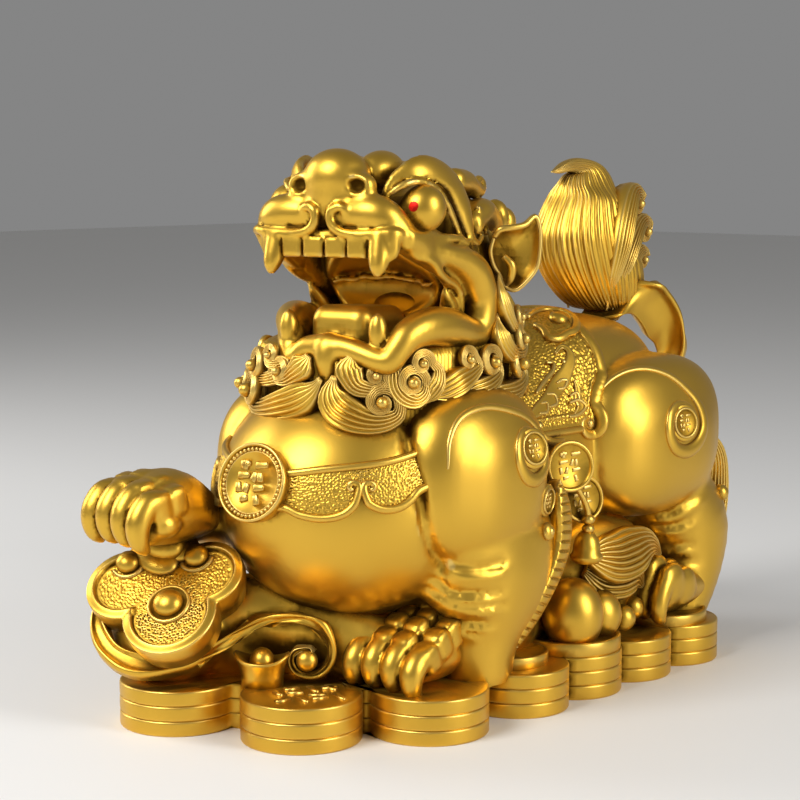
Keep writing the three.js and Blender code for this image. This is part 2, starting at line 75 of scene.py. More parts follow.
def spline(stations, count):
    # a Catmull-Rom curve through rows of any width, sampled evenly by length
    rows = np.asarray(stations, float)
    if len(rows) == 2:
        share = np.linspace(0, 1, count)[:, None]
        return rows[0] * (1 - share) + rows[1] * share
    ends = np.vstack([2 * rows[0] - rows[1], rows, 2 * rows[-1] - rows[-2]])
    share = np.linspace(0, 1, 24, endpoint=False)[:, None]
    parts = []
    for i in range(len(rows) - 1):
        p0, p1, p2, p3 = ends[i:i + 4]
        parts.append(0.5 * (2 * p1 + (p2 - p0) * share + (2 * p0 - 5 * p1 + 4 * p2 - p3) * share ** 2
                            + (3 * p1 - p0 - 3 * p2 + p3) * share ** 3))
    fine = np.vstack(parts + [rows[-1:]])
    step = np.linalg.norm(np.diff(fine[:, :3], axis=0), axis=1)
    length = np.concatenate([[0], np.cumsum(step)])
    at = np.linspace(0, length[-1], count)
    return np.column_stack([np.interp(at, length, fine[:, column]) for column in range(fine.shape[1])])


# Forms: each is a list of (lowest corner, highest corner, distance function)

def egg(centre, radii, pitch=0.0, yaw=0.0):
    # an ellipsoid: k0 (k0 - 1) / k1, with k0 the scaled length of a point and k1 that of its slope
    turn = rotation(pitch, yaw)
    middle = np.array(centre, float)
    sizes = np.array(radii, float)
    half = np.sqrt(((turn * sizes) ** 2).sum(1))

    def distance(x, y, z):
        dx, dy, dz = x - middle[0], y - middle[1], z - middle[2]
        k0 = k1 = 0
        for i in range(3):
            share = (turn[0, i] * dx + turn[1, i] * dy + turn[2, i] * dz) / sizes[i]
            k0 = k0 + share * share
            k1 = k1 + (share / sizes[i]) ** 2
        k0 = np.sqrt(k0)
        return k0 * (k0 - 1) / np.sqrt(k1 + 1e-9)

    return [(middle - half, middle + half, distance)]


def puff(centre, radii, power, pitch=0.0, yaw=0.0):
    # a full, squarish egg: k is the root of the summed powers of the scaled lengths, and the
    # distance is k - 1 over its slope
    turn = rotation(pitch, yaw)
    middle = np.array(centre, float)
    sizes = np.array(radii, float)
    half = np.abs(turn) @ sizes

    def distance(x, y, z):
        dx, dy, dz = x - middle[0], y - middle[1], z - middle[2]
        shares = [np.abs(turn[0, i] * dx + turn[1, i] * dy + turn[2, i] * dz) / sizes[i] for i in range(3)]
        k = sum(share ** power for share in shares) ** (1 / power)
        steep = [(share ** (power - 1) / size) ** 2 for share, size in zip(shares, sizes)]
        slope = np.sqrt(sum(steep)) / (k ** (power - 1) + 1e-6)
        return (k - 1) / (slope + 1e-4)

    return [(middle - half, middle + half, distance)]


def segment(a, b, ra, rb, face=None):
    # a bar from a to b; ra and rb are its half width and half height, the height along face
    axis = b - a
    length = max(np.linalg.norm(axis), 1e-6)
    along = axis / length
    ra, rb = np.broadcast_to(ra, 2), np.broadcast_to(rb, 2)
    big = max(ra.max(), rb.max())
    low = np.minimum(a, b) - big
    high = np.maximum(a, b) + big
    if face is not None:
        out = unit(np.cross(face, along))
        top = np.cross(along, out)

    def distance(x, y, z):
        dx, dy, dz = x - a[0], y - a[1], z - a[2]
        run = dx * along[0] + dy * along[1] + dz * along[2]
        t = np.clip(run / length, 0, 1)
        if face is None:
            r = ra[0] + (rb[0] - ra[0]) * t
            square = dx * dx + dy * dy + dz * dz - 2 * run * t * length + (t * length) ** 2
            return np.sqrt(np.maximum(square, 1e-9)) - r
        u = dx * out[0] + dy * out[1] + dz * out[2]
        v = dx * top[0] + dy * top[1] + dz * top[2]
        s = run - t * length
        wide = ra[0] + (rb[0] - ra[0]) * t
        tall = ra[1] + (rb[1] - ra[1]) * t
        least = np.minimum(wide, tall)
        k0 = np.sqrt((u / wide) ** 2 + (v / tall) ** 2 + (s / least) ** 2)
        k1 = np.sqrt((u / wide ** 2) ** 2 + (v / tall ** 2) ** 2 + (s / least ** 2) ** 2)
        return k0 * (k0 - 1) / (k1 + 1e-6)

    return (low, high, distance)


def tube(stations, count=14, face=None):
    # a bar along a smooth curve; stations are x, y, z, half width, half height
    rows = [list(s) + [s[3]] * (5 - len(s)) for s in stations]
    path = spline(rows, count)
    return [segment(a[:3], b[:3], a[3:5], b[3:5], face) for a, b in zip(path[:-1], path[1:])]


def block(centre, half, edge, pitch=0.0):
    # a box with rounded edges: the length of what sticks out of a smaller box, less the edge radius
    turn = rotation(pitch)
    middle = np.array(centre, float)
    inner = np.array(half, float) - edge
    reach = np.abs(turn) @ (inner + edge)

    def distance(x, y, z):
        dx, dy, dz = x - middle[0], y - middle[1], z - middle[2]
        gaps = [np.abs(turn[0, i] * dx + turn[1, i] * dy + turn[2, i] * dz) - inner[i] for i in range(3)]
        outside = np.sqrt(sum(np.maximum(gap, 0) ** 2 for gap in gaps))
        inside = np.minimum(np.maximum(np.maximum(gaps[0], gaps[1]), gaps[2]), 0)
        return outside + inside - edge

    return [(middle - reach, middle + reach, distance)]


def mirrored(form):
    # the same form on the other side of X = 0
    def flip(distance):
        return lambda x, y, z: distance(-x, y, z)
    sign = np.array([-1, 1, 1])
    return [(np.minimum(a * sign, b * sign), np.maximum(a * sign, b * sign), flip(d)) for a, b, d in form]


def softMin(a, b, k):
    # the lower of two distances, with a fillet of size k where they are close
    if k <= 0:
        return np.minimum(a, b)
    near = np.maximum(k - np.abs(a - b), 0) / k
    return np.minimum(a, b) - near * near * k * 0.25


# A block of clay: the distance to the surface at the points of a grid, negative inside
class Clay:
    far = 40.0

    def __init__(self, low, high, cell):
        self.cell = cell
        self.low = np.array(low, float)
        self.count = np.ceil((np.array(high, float) - self.low) / cell).astype(int) + 1
        self.field = np.full(self.count, self.far, np.float32)

    def window(self, low, high):
        first = np.floor((np.asarray(low) - self.low) / self.cell).astype(int)
        last = np.ceil((np.asarray(high) - self.low) / self.cell).astype(int) + 1
        first = np.clip(first, 0, self.count)
        last = np.clip(last, first, self.count)
        return first, last

    def rows(self, first, last):
        lines = [self.low[i] + self.cell * np.arange(first[i], last[i], dtype=np.float32) for i in range(3)]
        lines = [line.astype(np.float32) for line in lines]
        return lines[0][:, None, None], lines[1][None, :, None], lines[2][None, None, :]

    # the distance to a whole form, and the slices of the grid that it reaches
    def near(self, form, reach):
        lows = np.min([p[0] for p in form], 0) - reach
        highs = np.max([p[1] for p in form], 0) + reach
        first, last = self.window(lows, highs)
        here = tuple(slice(a, b) for a, b in zip(first, last))
        least = np.full(last - first, self.far, np.float32)
        if least.size == 0:
            return here, least
        for low, high, distance in form:
            a, b = self.window(low - reach, high + reach)
            if np.any(a >= b):
                continue
            spot = tuple(slice(p, q) for p, q in zip(a - first, b - first))
            least[spot] = np.minimum(least[spot], distance(*self.rows(a, b)))
        return here, least

    def add(self, form, blend=0.0):
        here, least = self.near(form, blend + 3 * self.cell + 2)
        self.field[here] = softMin(self.field[here], least, blend)

    def cut(self, form, blend=0.0):
        here, least = self.near(form, blend + 2 * self.cell)
        self.field[here] = -softMin(-self.field[here], least, blend)

    # values of the field at points, by trilinear interpolation
    def at(self, points):
        places = (points - self.low) / self.cell
        cells = np.clip(np.floor(places).astype(int), 0, self.count - 2)
        parts = np.clip(places - cells, 0, 1)
        total = 0
        for dx in (0, 1):
            for dy in (0, 1):
                for dz in (0, 1):
                    x = parts[:, 0] if dx else 1 - parts[:, 0]
                    y = parts[:, 1] if dy else 1 - parts[:, 1]
                    z = parts[:, 2] if dz else 1 - parts[:, 2]
                    corner = self.field[cells[:, 0] + dx, cells[:, 1] + dy, cells[:, 2] + dz]
                    total = total + x * y * z * corner
        return total

    def slope(self, points, step=None):
        step = step or self.cell
        parts = []
        for axis in range(3):
            move = np.zeros(3)
            move[axis] = step
            parts.append(self.at(points + move) - self.at(points - move))
        slopes = np.column_stack(parts)
        return slopes / (np.linalg.norm(slopes, axis=1, keepdims=True) + 1e-9)

    # Surface nets: one corner in each cell that the surface crosses, at the mean of its crossings,
    # and one quad across each grid edge that changes sign
    def skin(self):
        field = self.field
        inside = field < 0
        total = sum(inside[a:a + field.shape[0] - 1, b:b + field.shape[1] - 1,
                           c:c + field.shape[2] - 1].astype(np.int8)
                    for a in (0, 1) for b in (0, 1) for c in (0, 1))
        cells = np.argwhere((total > 0) & (total < 8))
        index = np.full(total.shape, -1, np.int32)
        index[tuple(cells.T)] = np.arange(len(cells))
        place = np.zeros((len(cells), 3))
        hits = np.zeros(len(cells))
        i, j, k = cells.T
        for axis in range(3):
            others = [d for d in range(3) if d != axis]
            for p in (0, 1):
                for q in (0, 1):
                    start = [0, 0, 0]
                    start[others[0]], start[others[1]] = p, q
                    end = list(start)
                    end[axis] = 1
                    a = field[i + start[0], j + start[1], k + start[2]]
                    b = field[i + end[0], j + end[1], k + end[2]]
                    crosses = (a < 0) != (b < 0)
                    t = np.where(crosses, a / np.where(crosses, a - b, 1), 0)
                    spot = np.tile(np.array(start, float), (len(cells), 1))
                    spot[:, axis] = t
                    place += spot * crosses[:, None]
                    hits += crosses
        points = self.low + self.cell * (cells + place / hits[:, None])
        quads = []
        for axis in range(3):
            u, v = (axis + 1) % 3, (axis + 2) % 3
            lower = [slice(None)] * 3
            upper = [slice(None)] * 3
            lower[axis], upper[axis] = slice(0, -1), slice(1, None)
            for d in (u, v):
                lower[d] = upper[d] = slice(1, -1)
            a, b = inside[tuple(lower)], inside[tuple(upper)]
            for sign, mask in ((1, a & ~b), (-1, b & ~a)):
                edges = np.argwhere(mask)
                edges[:, u] += 1
                edges[:, v] += 1
                ring = []
                for du, dv in ((-1, -1), (0, -1), (0, 0), (-1, 0)):
                    spot = edges.copy()
                    spot[:, u] += du
                    spot[:, v] += dv
                    ring.append(index[tuple(spot.T)])
                quads.append(np.column_stack(ring if sign > 0 else ring[::-1]))
        for _ in range(2):
            shift = np.clip(self.at(points), -0.5 * self.cell, 0.5 * self.cell)
            points = points - 0.8 * shift[:, None] * self.slope(points, 0.5 * self.cell)
        return points, np.vstack(quads)


# Meshes

pieces = {}


def makePiece(name, points, faces):
    # faces is an array of quads, a quad whose last two corners are equal is a triangle
    mesh = bpy.data.meshes.new(name)
    faces = np.asarray(faces)
    mesh.vertices.add(len(points))
    mesh.vertices.foreach_set("co", (np.asarray(points) / 1000).astype(np.float32).ravel())
    isTriangle = faces[:, 2] == faces[:, 3]
    size = np.where(isTriangle, 3, 4)
    keep = np.ones(faces.shape, bool)
    keep[isTriangle, 3] = False
    mesh.loops.add(int(size.sum()))
    mesh.loops.foreach_set("vertex_index", faces[keep].astype(np.int32))
    mesh.polygons.add(len(faces))
    mesh.polygons.foreach_set("loop_start", (np.cumsum(size) - size).astype(np.int32))
    mesh.update(calc_edges=True)
    mesh.shade_smooth()
    piece = bpy.data.objects.new(name, mesh)
    bpy.context.scene.collection.objects.link(piece)
    pieces[name] = piece
    print(name, "has", int((size - 2).sum()), "triangles")


# Lines that lie on the clay, and rings and grids of points joined into closed skins

def settle(clay, points, lift=0.0, rounds=6):
    # moves points along the clay's slope until they stand lift above its skin; gives the slope too
    points = np.asarray(points, float)
    for _ in range(rounds):
        points = points - (clay.at(points) - lift)[:, None] * clay.slope(points)
    return points, clay.slope(points)


def outward(points, faces):
    # turns the faces round where the signed volume is negative
    a, b, c, d = (points[faces[:, k]] for k in range(4))
    volume = (a * np.cross(b, c)).sum() + (a * np.cross(c, d)).sum()
    return faces if volume > 0 else flipped(faces)


def flipped(faces):
    # the same faces seen from behind; a triangle keeps its doubled corner at the end
    isTriangle = faces[:, 2] == faces[:, 3]
    turned = faces[:, ::-1].copy()
    turned[isTriangle] = faces[isTriangle][:, [0, 2, 1, 1]]
    return turned


def gridFaces(rows, columns, wrap=True):
    # quads between the rows of a grid, the last column joined to the first where wrap is set
    row, column = np.meshgrid(np.arange(rows - 1), np.arange(columns if wrap else columns - 1), indexing="ij")
    row, column = row.ravel(), column.ravel()
    after = (column + 1) % columns
    first = row * columns
    return np.column_stack([first + column, first + after, first + columns + after, first + columns + column])


def closeRings(rings, tips=None):
    # rings of equal count made one closed skin, each end drawn to its middle or to a given tip
    rows, columns = rings.shape[:2]
    first = rings[0].mean(0) if tips is None else tips[0]
    last = rings[-1].mean(0) if tips is None else tips[1]
    points = np.vstack([rings.reshape(-1, 3), first, last])
    here = np.arange(columns)
    after = (here + 1) % columns
    base = rows * columns
    start = np.column_stack([np.full(columns, base), after, here, here])
    end = np.column_stack([np.full(columns, base + 1), base - columns + here, base - columns + after,
                           base - columns + after])
    faces = np.vstack([gridFaces(rows, columns), start, end])
    return points, outward(points, faces)


def carry(path, normals, wide, tall, section):
    # a section carried along a path: its first number times wide goes sideways, its second
    # times tall goes along the normal
    along = np.gradient(path, axis=0)
    along /= np.linalg.norm(along, axis=1, keepdims=True) + 1e-9
    side = np.cross(along, normals)
    side /= np.linalg.norm(side, axis=1, keepdims=True) + 1e-9
    top = np.cross(side, along)
    section = np.broadcast_to(section, (len(path),) + np.shape(section)[-2:])
    wide = np.broadcast_to(wide, len(path))[:, None, None]
    tall = np.broadcast_to(tall, len(path))[:, None, None]
    return (path[:, None] + side[:, None] * section[:, :, :1] * wide
            + top[:, None] * section[:, :, 1:] * tall)


def roundSection(count):
    turn = 2 * np.pi * (np.arange(count) + 0.5) / count
    return np.column_stack([np.cos(turn), np.sin(turn)])


def strandSection(strands, depth=0.3, sink=0.5, perStrand=4):
    # a dome cut by rounded strands: 1 - u squared, to the power 0.4, times the strands' own arcs
    count = strands * perStrand + 1
    share = np.linspace(0, 1, count)
    u = 2 * share - 1
    arch = np.abs(np.sin(np.pi * strands * share)) ** 0.7
    dome = np.maximum(1 - u ** 2, 0) ** 0.4
    high = dome * (1 - depth + depth * arch)
    under = np.linspace(0.9, -0.9, 5)
    top = np.column_stack([u, high])
    return np.vstack([top, np.column_stack([under, np.full(5, -sink)])])


# Several closed skins kept as one piece
class Batch:
    def __init__(self):
        self.points = []
        self.faces = []
        self.total = 0

    def add(self, points, faces):
        self.points.append(np.asarray(points, float))
        self.faces.append(np.asarray(faces) + self.total)
        self.total += len(points)

    def all(self):
        return np.vstack(self.points), np.vstack(self.faces)


def rope(batch, clay, stations, count, lift, flat=1.0):
    # a raised line on the clay: stations are x, y, z, half width; flat is its height over its half width
    path = spline(stations, count)
    points, normals = settle(clay, path[:, :3], lift)
    batch.add(*closeRings(carry(points, normals, path[:, 3], path[:, 3] * flat, roundSection(12))))


def ball(centre, radii, normal=None, around=20, rings=12):
    # an ellipsoid as rings from pole to pole: the cosine and sine of two angles
    polar = np.linspace(0, np.pi, rings + 1)[1:-1, None]
    turn = (2 * np.pi * np.arange(around) / around)[None, :]
    unitBall = np.stack([np.sin(polar) * np.cos(turn), np.sin(polar) * np.sin(turn),
                         np.cos(polar) * np.ones_like(turn)], -1)
    tips = np.array([[0, 0, 1.0], [0, 0, -1.0]])
    basis = np.eye(3)
    if normal is not None:
        top = unit(normal)
        side = unit(np.cross(top, (0.3, 0.5, 0.8)))
        basis = np.stack([side, np.cross(top, side), top])
    place = lambda spots: (spots * np.array(radii)) @ basis + np.array(centre, float)
    return closeRings(place(unitBall), place(tips))


# The beast's body: trunk, neck, shoulders, haunches and legs

body = {"cell": 2.6, "shoulder": (56, -8, 131), "farShoulder": (-56, -26, 130), "hip": (55, 161, 137),
        "chest": ((-3, -30, 123), (76, 84, 70)), "arm": (34.2, 53, 50), "armPower": 2.45, "armLimit": 1.005,
        "farShift": 11, "farDrop": 3.96}
# in millimetres, how far a crease slopes above and under its line and how far beyond its ends it
# fades; a low roll lies under it
crease = {"steps": 60, "above": 4.5, "under": 1.0, "aside": 2.5, "deep": 1.5, "roll": 0.5,
          "rollPlace": 3.2, "rollWidth": 2.0}

# creases of the skin, from the front of the leg to its side: x, y, z and depth
foreFolds = [
    [(72, -40, 93, 1.0), (73, -30, 90, 1.8), (79, -23, 89, 2.0), (84, -15, 90, 1.8), (86, -10, 91, 0.2)],
    [(60, -40, 83, 1.2), (64, -36, 81, 1.8), (68, -29, 77, 2.2),
     (77, -24, 76, 2.2), (82, -18, 75, 1.6), (86, -11, 75, 0.2)],
    [(57, -38, 78, 1.0), (61, -34, 76, 1.4), (68, -28, 73, 1.6),
     (78, -22, 70, 1.6), (84, -15, 69, 1.4), (86, -9, 66, 0.2)],
    [(48, -34, 72, 1.2), (51, -31, 68, 1.8), (63, -27, 62, 2.2),
     (72, -24, 61, 2.4), (78, -20, 59, 1.8), (82, -13, 57, 0.2)],
    [(55, -30, 60, 1.0), (61, -27, 58, 1.6), (69, -25, 57, 1.8), (77, -19, 53, 0.2)]]
hindFolds = [
    [(63, 162, 90, 1.2), (72, 167, 91, 1.8), (77, 172, 95, 1.8), (82, 180, 99, 1.4), (86, 192, 103, 0.2)],
    [(63, 166, 82, 1.2), (70, 169, 82, 2.0), (77, 175, 84, 1.8), (82, 184, 89, 0.2)],
    [(66, 174, 67, 1.2), (71, 176, 69, 1.8), (76, 180, 70, 1.4), (80, 186, 69, 0.2)],
    [(67, 175, 61, 1.0), (72, 178, 60, 1.4), (77, 183, 59, 1.2), (81, 190, 58, 0.2)]]


def creased(points, normals, line):
    # each corner is pushed in by how near it is to the line: a long slope above it, a short one under it
    path = spline(line, crease["steps"])
    path[:, :3] = settle(trunkClay, path[:, :3])[0]
    gap = points[:, None] - path[None, :, :3]
    distance = np.linalg.norm(gap, axis=2)
    nearest = distance.argmin(1)
    rise = gap[np.arange(len(points)), nearest, 2]
    aside = np.sqrt(np.maximum(distance.min(1) ** 2 - rise ** 2, 0))
    slope = np.exp(-(rise / np.where(rise > 0, crease["above"], crease["under"])) ** 2)
    roll = crease["roll"] * np.exp(-((rise + crease["rollPlace"]) / crease["rollWidth"]) ** 2)
    push = crease["deep"] * path[nearest, 3] * (slope - roll) * np.exp(-(aside / crease["aside"]) ** 2)
    return points - normals * push[:, None]


def armGroove():
    # where the chest meets the upper arm: at each height the first place round the chest, in whole
    # millimetres, where the summed powers of its scaled lengths from the arm's middle fall to a limit
    (x, y, z), (rx, ry, rz) = body["chest"]
    middle = np.array(body["shoulder"]) + (-1, 0, 5)
    turn = np.radians(np.linspace(-90, 10, 2000))
    # from straight ahead to a little past the side; the line starts in front of the foreleg
    line = [(66, -39, 90), (66, -41, 94)]
    for height in range(102, 175, 8):
        level = math.sqrt(1 - ((height - z) / rz) ** 2)
        ring = np.column_stack([x + rx * level * np.cos(turn), y + ry * level * np.sin(turn),
                                np.full(len(turn), height)])
        within = (np.abs((ring - middle) / body["arm"]) ** body["armPower"]).sum(1) < body["armLimit"]
        line.append(np.round(ring[within.argmax()]))
    return line


def bodyClay():
    clay = Clay((-102, -150, 20), (102, 236, 240), body["cell"])
    clay.add(egg(*body["chest"]))
    clay.add(egg((0, 40, 129), (66, 92, 68)), 20)
    clay.add(egg((0, 118, 140), (63, 88, 73)), 24)
    clay.add(puff((0, 140, 140), (57, 70, 73), 3.0), 14)
    clay.add(tube([[0, -26, 165, 46, 40], [4, 4, 214, 40, 26]], 4, face=(0, -1, 0)), 14)
    # one foreleg stands under its shoulder, the other is raised
    clay.add(puff((60, 6, 86), (29, 45, 43), 2.6), 8)
    clay.add(tube([[60, 2, 80, 27, 37], [60, 0, 60, 25, 31], [60, -4, 40, 22, 24],
                   [60, -4, 30, 21, 22]], 14, face=(0, -1, 0)), 8)
    clay.add(tube([[-56, -20, 112, 31, 30], [-59, -72, 106, 22, 19],
                   [-60, -100, 110, 19, 14], [-60, -124, 118, 19, 14]], 14, face=(0, 0, 1)), 10)
    # hind legs, and the ledge that runs round each full haunch and shoulder
    for s in (1, -1):
        clay.add(tube([[s * 57, 190, 100, 25, 30], [s * 60, 203, 80, 24, 32], [s * 61, 203, 62, 22, 29],
                       [s * 62, 198, 44, 20, 23], [s * 62, 191, 30, 19, 19]], 12, face=(0, -1, 0)), 10)
        hx, hy, hz = body["hip"]
        clay.add(puff((s * (hx - 2), hy + 2, hz + 4), (32, 64, 49.5), 2.6), 2)
        clay.add(puff((s * hx, hy, hz), (33, 58, 45), 2.6), 0.8)
    for (sx, sy, sz) in (body["shoulder"], body["farShoulder"]):
        side = 1 if sx > 0 else -1
        clay.add(puff((sx - side, sy, sz + 5), body["arm"], body["armPower"]), 2)
        clay.add(puff((sx + 1.5 * side, sy + 3, sz + 2), (34, 44, 44), 2.7), 0.8)
    clay.cut(tube([[*place, 2.6] for place in armGroove()], 30), 3)
    return clay


trunkClay = bodyClay()
points, faces = trunkClay.skin()
for line in foreFolds + hindFolds + [list(np.array(line) * (-1, 1, 1, 1)) for line in hindFolds]:
    low, high = np.min(line, 0)[:3] - 12, np.max(line, 0)[:3] + 12
    near = ((points > low) & (points < high)).all(1)
    points[near] = creased(points[near], trunkClay.slope(points[near]), line)
makePiece("body", points, faces)

# Paws: each toe is a row of knuckles that ends in a claw, in front of the instep

# a knuckle: y, the height of its top as a share, its half width as a share of a toe, half length and height
# a claw's stations: y, height and half width as such shares
paws = {"cell": 1.5, "toes": 4, "blend": 1.3, "standing": {
    "tilt": 24, "power": 4.0, "low": 0.34, "lift": 0.0,
    "knuckles": [(15.5, 0.98, 0.98, 6.3, 8.5), (4.5, 0.88, 1.02, 6.3, 8.5), (-6, 0.74, 1.04, 6.3, 8.5)],
    "claw": [(-6, 0.50, 0.96), (-12, 0.49, 1.04), (-17.5, 0.37, 1.04),
             (-19, 0.22, 0.92), (-17, 0.09, 0.68), (-13, 0.02, 0.4)]
}, "raised": {
    "tilt": 10, "power": 4.0, "low": 0.27, "lift": 0.06,
    "knuckles": [(5, 0.87, 0.98, 6.3, 8.5), (-6, 0.82, 1.03, 6.3, 8.5)],
    "claw": [(-6, 0.64, 0.96), (-12, 0.62, 1.04), (-17.5, 0.47, 1.04),
             (-19, 0.32, 0.94), (-17.5, 0.18, 0.74), (-14, 0.09, 0.42)]
}, "hind": {
    "tilt": 12, "power": 2.4, "low": 0.34, "lift": 0.0,
    "knuckles": [(13, 0.88, 1.02, 12, 12), (1, 1.0, 1.08, 11, 13)],
    "claw": [(2, 0.70, 1.0), (-7, 0.64, 1.06), (-13, 0.46, 1.06),
             (-16, 0.26, 1.0), (-15, 0.12, 0.8), (-11, 0.04, 0.5)]}}


def pawForms(centre, yaw, width, height, forward, kind):
    # the toes lie side by side across the width; y runs from the claws to the instep
    turn = rotation(yaw=yaw)
    look = paws[kind]
    reach = width / paws["toes"] / 2
    low, lift = look["low"], look["lift"]
    place = lambda x, y, z: np.array(centre) + turn @ np.array([x, y, z])
    forms = [tube([[*place(0, 38, low * height), width * 0.38, height * (low - 0.01)],
                   [*place(0, 17, (0.38 + lift / 2) * height), width * 0.46, height * (0.42 + lift / 2)],
                   [*place(0, 5, (0.34 + lift) * height), width * 0.46, height * (0.36 + lift)],
                   [*place(0, -4, 0.28 * height), width * 0.44, height * 0.29]], 12, face=(0, 0, 1))]
    claws = []
    for i in range(paws["toes"]):
        x = (i - (paws["toes"] - 1) / 2) * 2 * reach
        # the outer toes lie lower
        sink = -0.04 * (i - 1.3) ** 2 * height
        for y, top, r, long, tall in look["knuckles"]:
            spot = place(x, y, top * height - tall + sink)
            forms.append(puff(spot, (r * reach, long, tall), look["power"], pitch=look["tilt"], yaw=yaw))
        line = [[*place(x, y * forward / 19, z * height + sink / 2), r * reach] for y, z, r in look["claw"]]
        claws.append(tube(line, 22))
    forms += claws
    if kind == "raised":
        forms.append(egg(place(22, -1, 0.30 * height), (6.5, 9, 7)))
    return forms


def makePaw(name, centre, yaw, width, height, forward, kind):
    low = np.array(centre) + (-width * 0.75, -forward - 14, -4)
    high = np.array(centre) + (width * 0.75, 52, height + 12)
    clay = Clay(low, high, paws["cell"])
    for form in pawForms(centre, yaw, width, height, forward, kind):
        clay.add(form, paws["blend"])
    makePiece(name, *clay.skin())


makePaw("left_forepaw", (46, -48, 25), 4, 53, 42, 19, "standing")
makePaw("right_forepaw", (-61, -140, 101), -4, 54, 46, 19, "raised")
makePaw("left_hind_paw", (64, 156, 31), 0, 46, 38, 15, "hind")
makePaw("right_hind_paw", (-64, 156, 31), 0, 46, 38, 15, "hind")

# The head, made facing -Y and then turned about the neck

head = {"cell": 1.56, "yaw": 12.0, "pivot": (0, 10, 0)}


def turnHead(points):
    pivot = np.array(head["pivot"], float)
    return (points - pivot) @ rotation(yaw=head["yaw"]).T + pivot


def headClay():
    clay = Clay((-78, -98, 186), (78, 84, 322), head["cell"])
    both = lambda form, blend: (clay.add(form, blend), clay.add(mirrored(form), blend))
    cutBoth = lambda form, blend: (clay.cut(form, blend), clay.cut(mirrored(form), blend))

    # a line whose copy on the far side is wider by a few millimetres where it is at the front
    def bothSides(rows, count, blend, wider):
        far = [[r[0] + wider * smooth(12, 34, r[0]) * smooth(-45, -62, r[1]), *r[1:]] for r in rows]
        clay.add(tube(rows, count), blend)
        clay.add(mirrored(tube(far, count)), blend)

    clay.add(egg((0, 0, 256), (45, 44, 46)))
    # muzzle, with a flat palate, and the lower jaw
    clay.add(tube([[0, 0, 276, 42, 26], [0, -40, 279, 42, 17], [0, -66, 276, 34, 10]], 24, face=(0, 0, 1)), 8)
    clay.add(tube([[0, 10, 217, 46, 22], [0, -36, 205, 38, 8], [0, -68, 203, 32, 6]], 24, face=(0, 0, 1)), 8)
    # the hollow of the mouth, and the tongue
    clay.cut(tube([[0, -26, 237, 34, 14], [0, -42, 237, 38, 21],
                   [0, -66, 238, 41, 25], [0, -104, 238, 46, 28]], 30, face=(0, 0, 1)), 6)
    both(tube([[43, -68, 269, 8, 4.5], [44, -54, 266, 9, 4.5], [43.5, -38, 259, 11, 4.5],
               [43, -22, 251, 13, 5], [42, -8, 243, 16, 6]], 24, face=(1, 0, 0)), 3)
    clay.add(block((0, -48, 217), (18.5, 24, 13), 8.5, pitch=-3), 2)
    # the forehead runs down between the brows to the nose
    clay.add(tube([[0, -66, 297, 12, 10], [0, -30, 298, 20, 12], [0, 0, 294, 30, 12]], 24, face=(0, 0, 1)), 6)
    both(egg((12, -44, 302), (11.5, 17, 11.5)), 2)
    clay.add(egg((0, -20, 303), (9, 14, 7)), 2)
    # nose: a bulb, its wings and the nostrils
    clay.add(egg((0, -70, 299), (18.5, 16, 15.5)), 2)
    both(egg((17.5, -75, 294.8), (9, 7.5, 7.2)), 4)
    clay.add(egg((0, -77, 290), (12, 7, 6)), 4)
    cutBoth(egg((18.5, -84, 295), (5.6, 8.5, 4.5), yaw=10), 1.6)
    # socket of the eye, under the brow
    cutBoth(egg((46, -63, 284), (13, 17, 13.5), yaw=24), 3)
    # the lip pads sweep round the corner of the muzzle and down to the corner of the mouth
    bothSides([[12, -74, 279.5, 10], [23, -74, 280, 10.8], [30, -72.5, 278, 10.4], [35, -68, 272, 9.2],
               [38.5, -62, 265.5, 7.6], [42, -53, 258.5, 5.8], [44.5, -44, 253, 4.4]], 50, 4, 6)
    clay.add(egg((0, -74, 284), (15, 9.5, 10)), 4)
    # the lids, one line within another
    both(tube([[29, -67, 289.5, 1.6], [34, -65, 293.5, 2.0], [38.5, -60, 296.5, 2.1],
               [42, -51, 296.5, 2.1], [44.5, -41, 292.5, 2.1], [46.5, -34, 285, 2.0],
               [47.5, -28, 276.5, 2.0], [48, -22, 268, 1.8]], 40), 0.6)
    both(tube([[44, -54, 268, 1.6], [47, -42, 267, 2.2], [49, -28, 266.5, 2.2], [50, -14, 263, 2]], 16), 2)
    # the brow: a twisted plate whose ends are drawn out
    both(tube([[26.5, -66, 290.5, 2.0, 1.6], [30, -60, 297.5, 4.2, 2.2], [36, -53, 303, 6.0, 2.8],
               [39.5, -44, 304.5, 7.4, 3.2], [42, -33, 301.5, 8.2, 3.4], [44, -24, 296, 8.0, 3.2],
               [46.5, -18, 286, 7.2, 2.8], [48.5, -15, 276, 5.4, 2.4], [49.5, -12, 267, 3.2, 2.2],
               [49.5, -5, 263, 2.2, 2.2], [49.5, 1, 266, 1.8, 1.8]], 60, face=(0.86, -0.2, 0.5)), 1)
    both(egg((49, -3.5, 271), (3, 3, 3.4)), 0.5)
    # behind the brow a scroll, and a horn that lies back in swellings
    both(tube([[36, -6, 297, 7], [35, 8, 296, 6.5], [34, 20, 292, 5], [34, 28, 291, 3.4],
               [33.5, 31, 295, 2.8], [34, 26, 297.5, 2.4], [35, 22.5, 294.5, 2.2]], 40), 1.5)
    both(tube([[46, -2, 275, 6], [43, 12, 279, 8], [38, 26, 276, 9], [35, 38, 272, 8]], 24), 4)
    both(tube([[49, -2, 282, 1.6], [48, 6, 276, 2.0], [48, 10, 268, 1.8]], 14), 1)
    both(egg((35, 45, 275), (8.5, 7, 11)), 1.2)
    both(egg((34, 57, 272), (8, 7, 9.5)), 1.2)
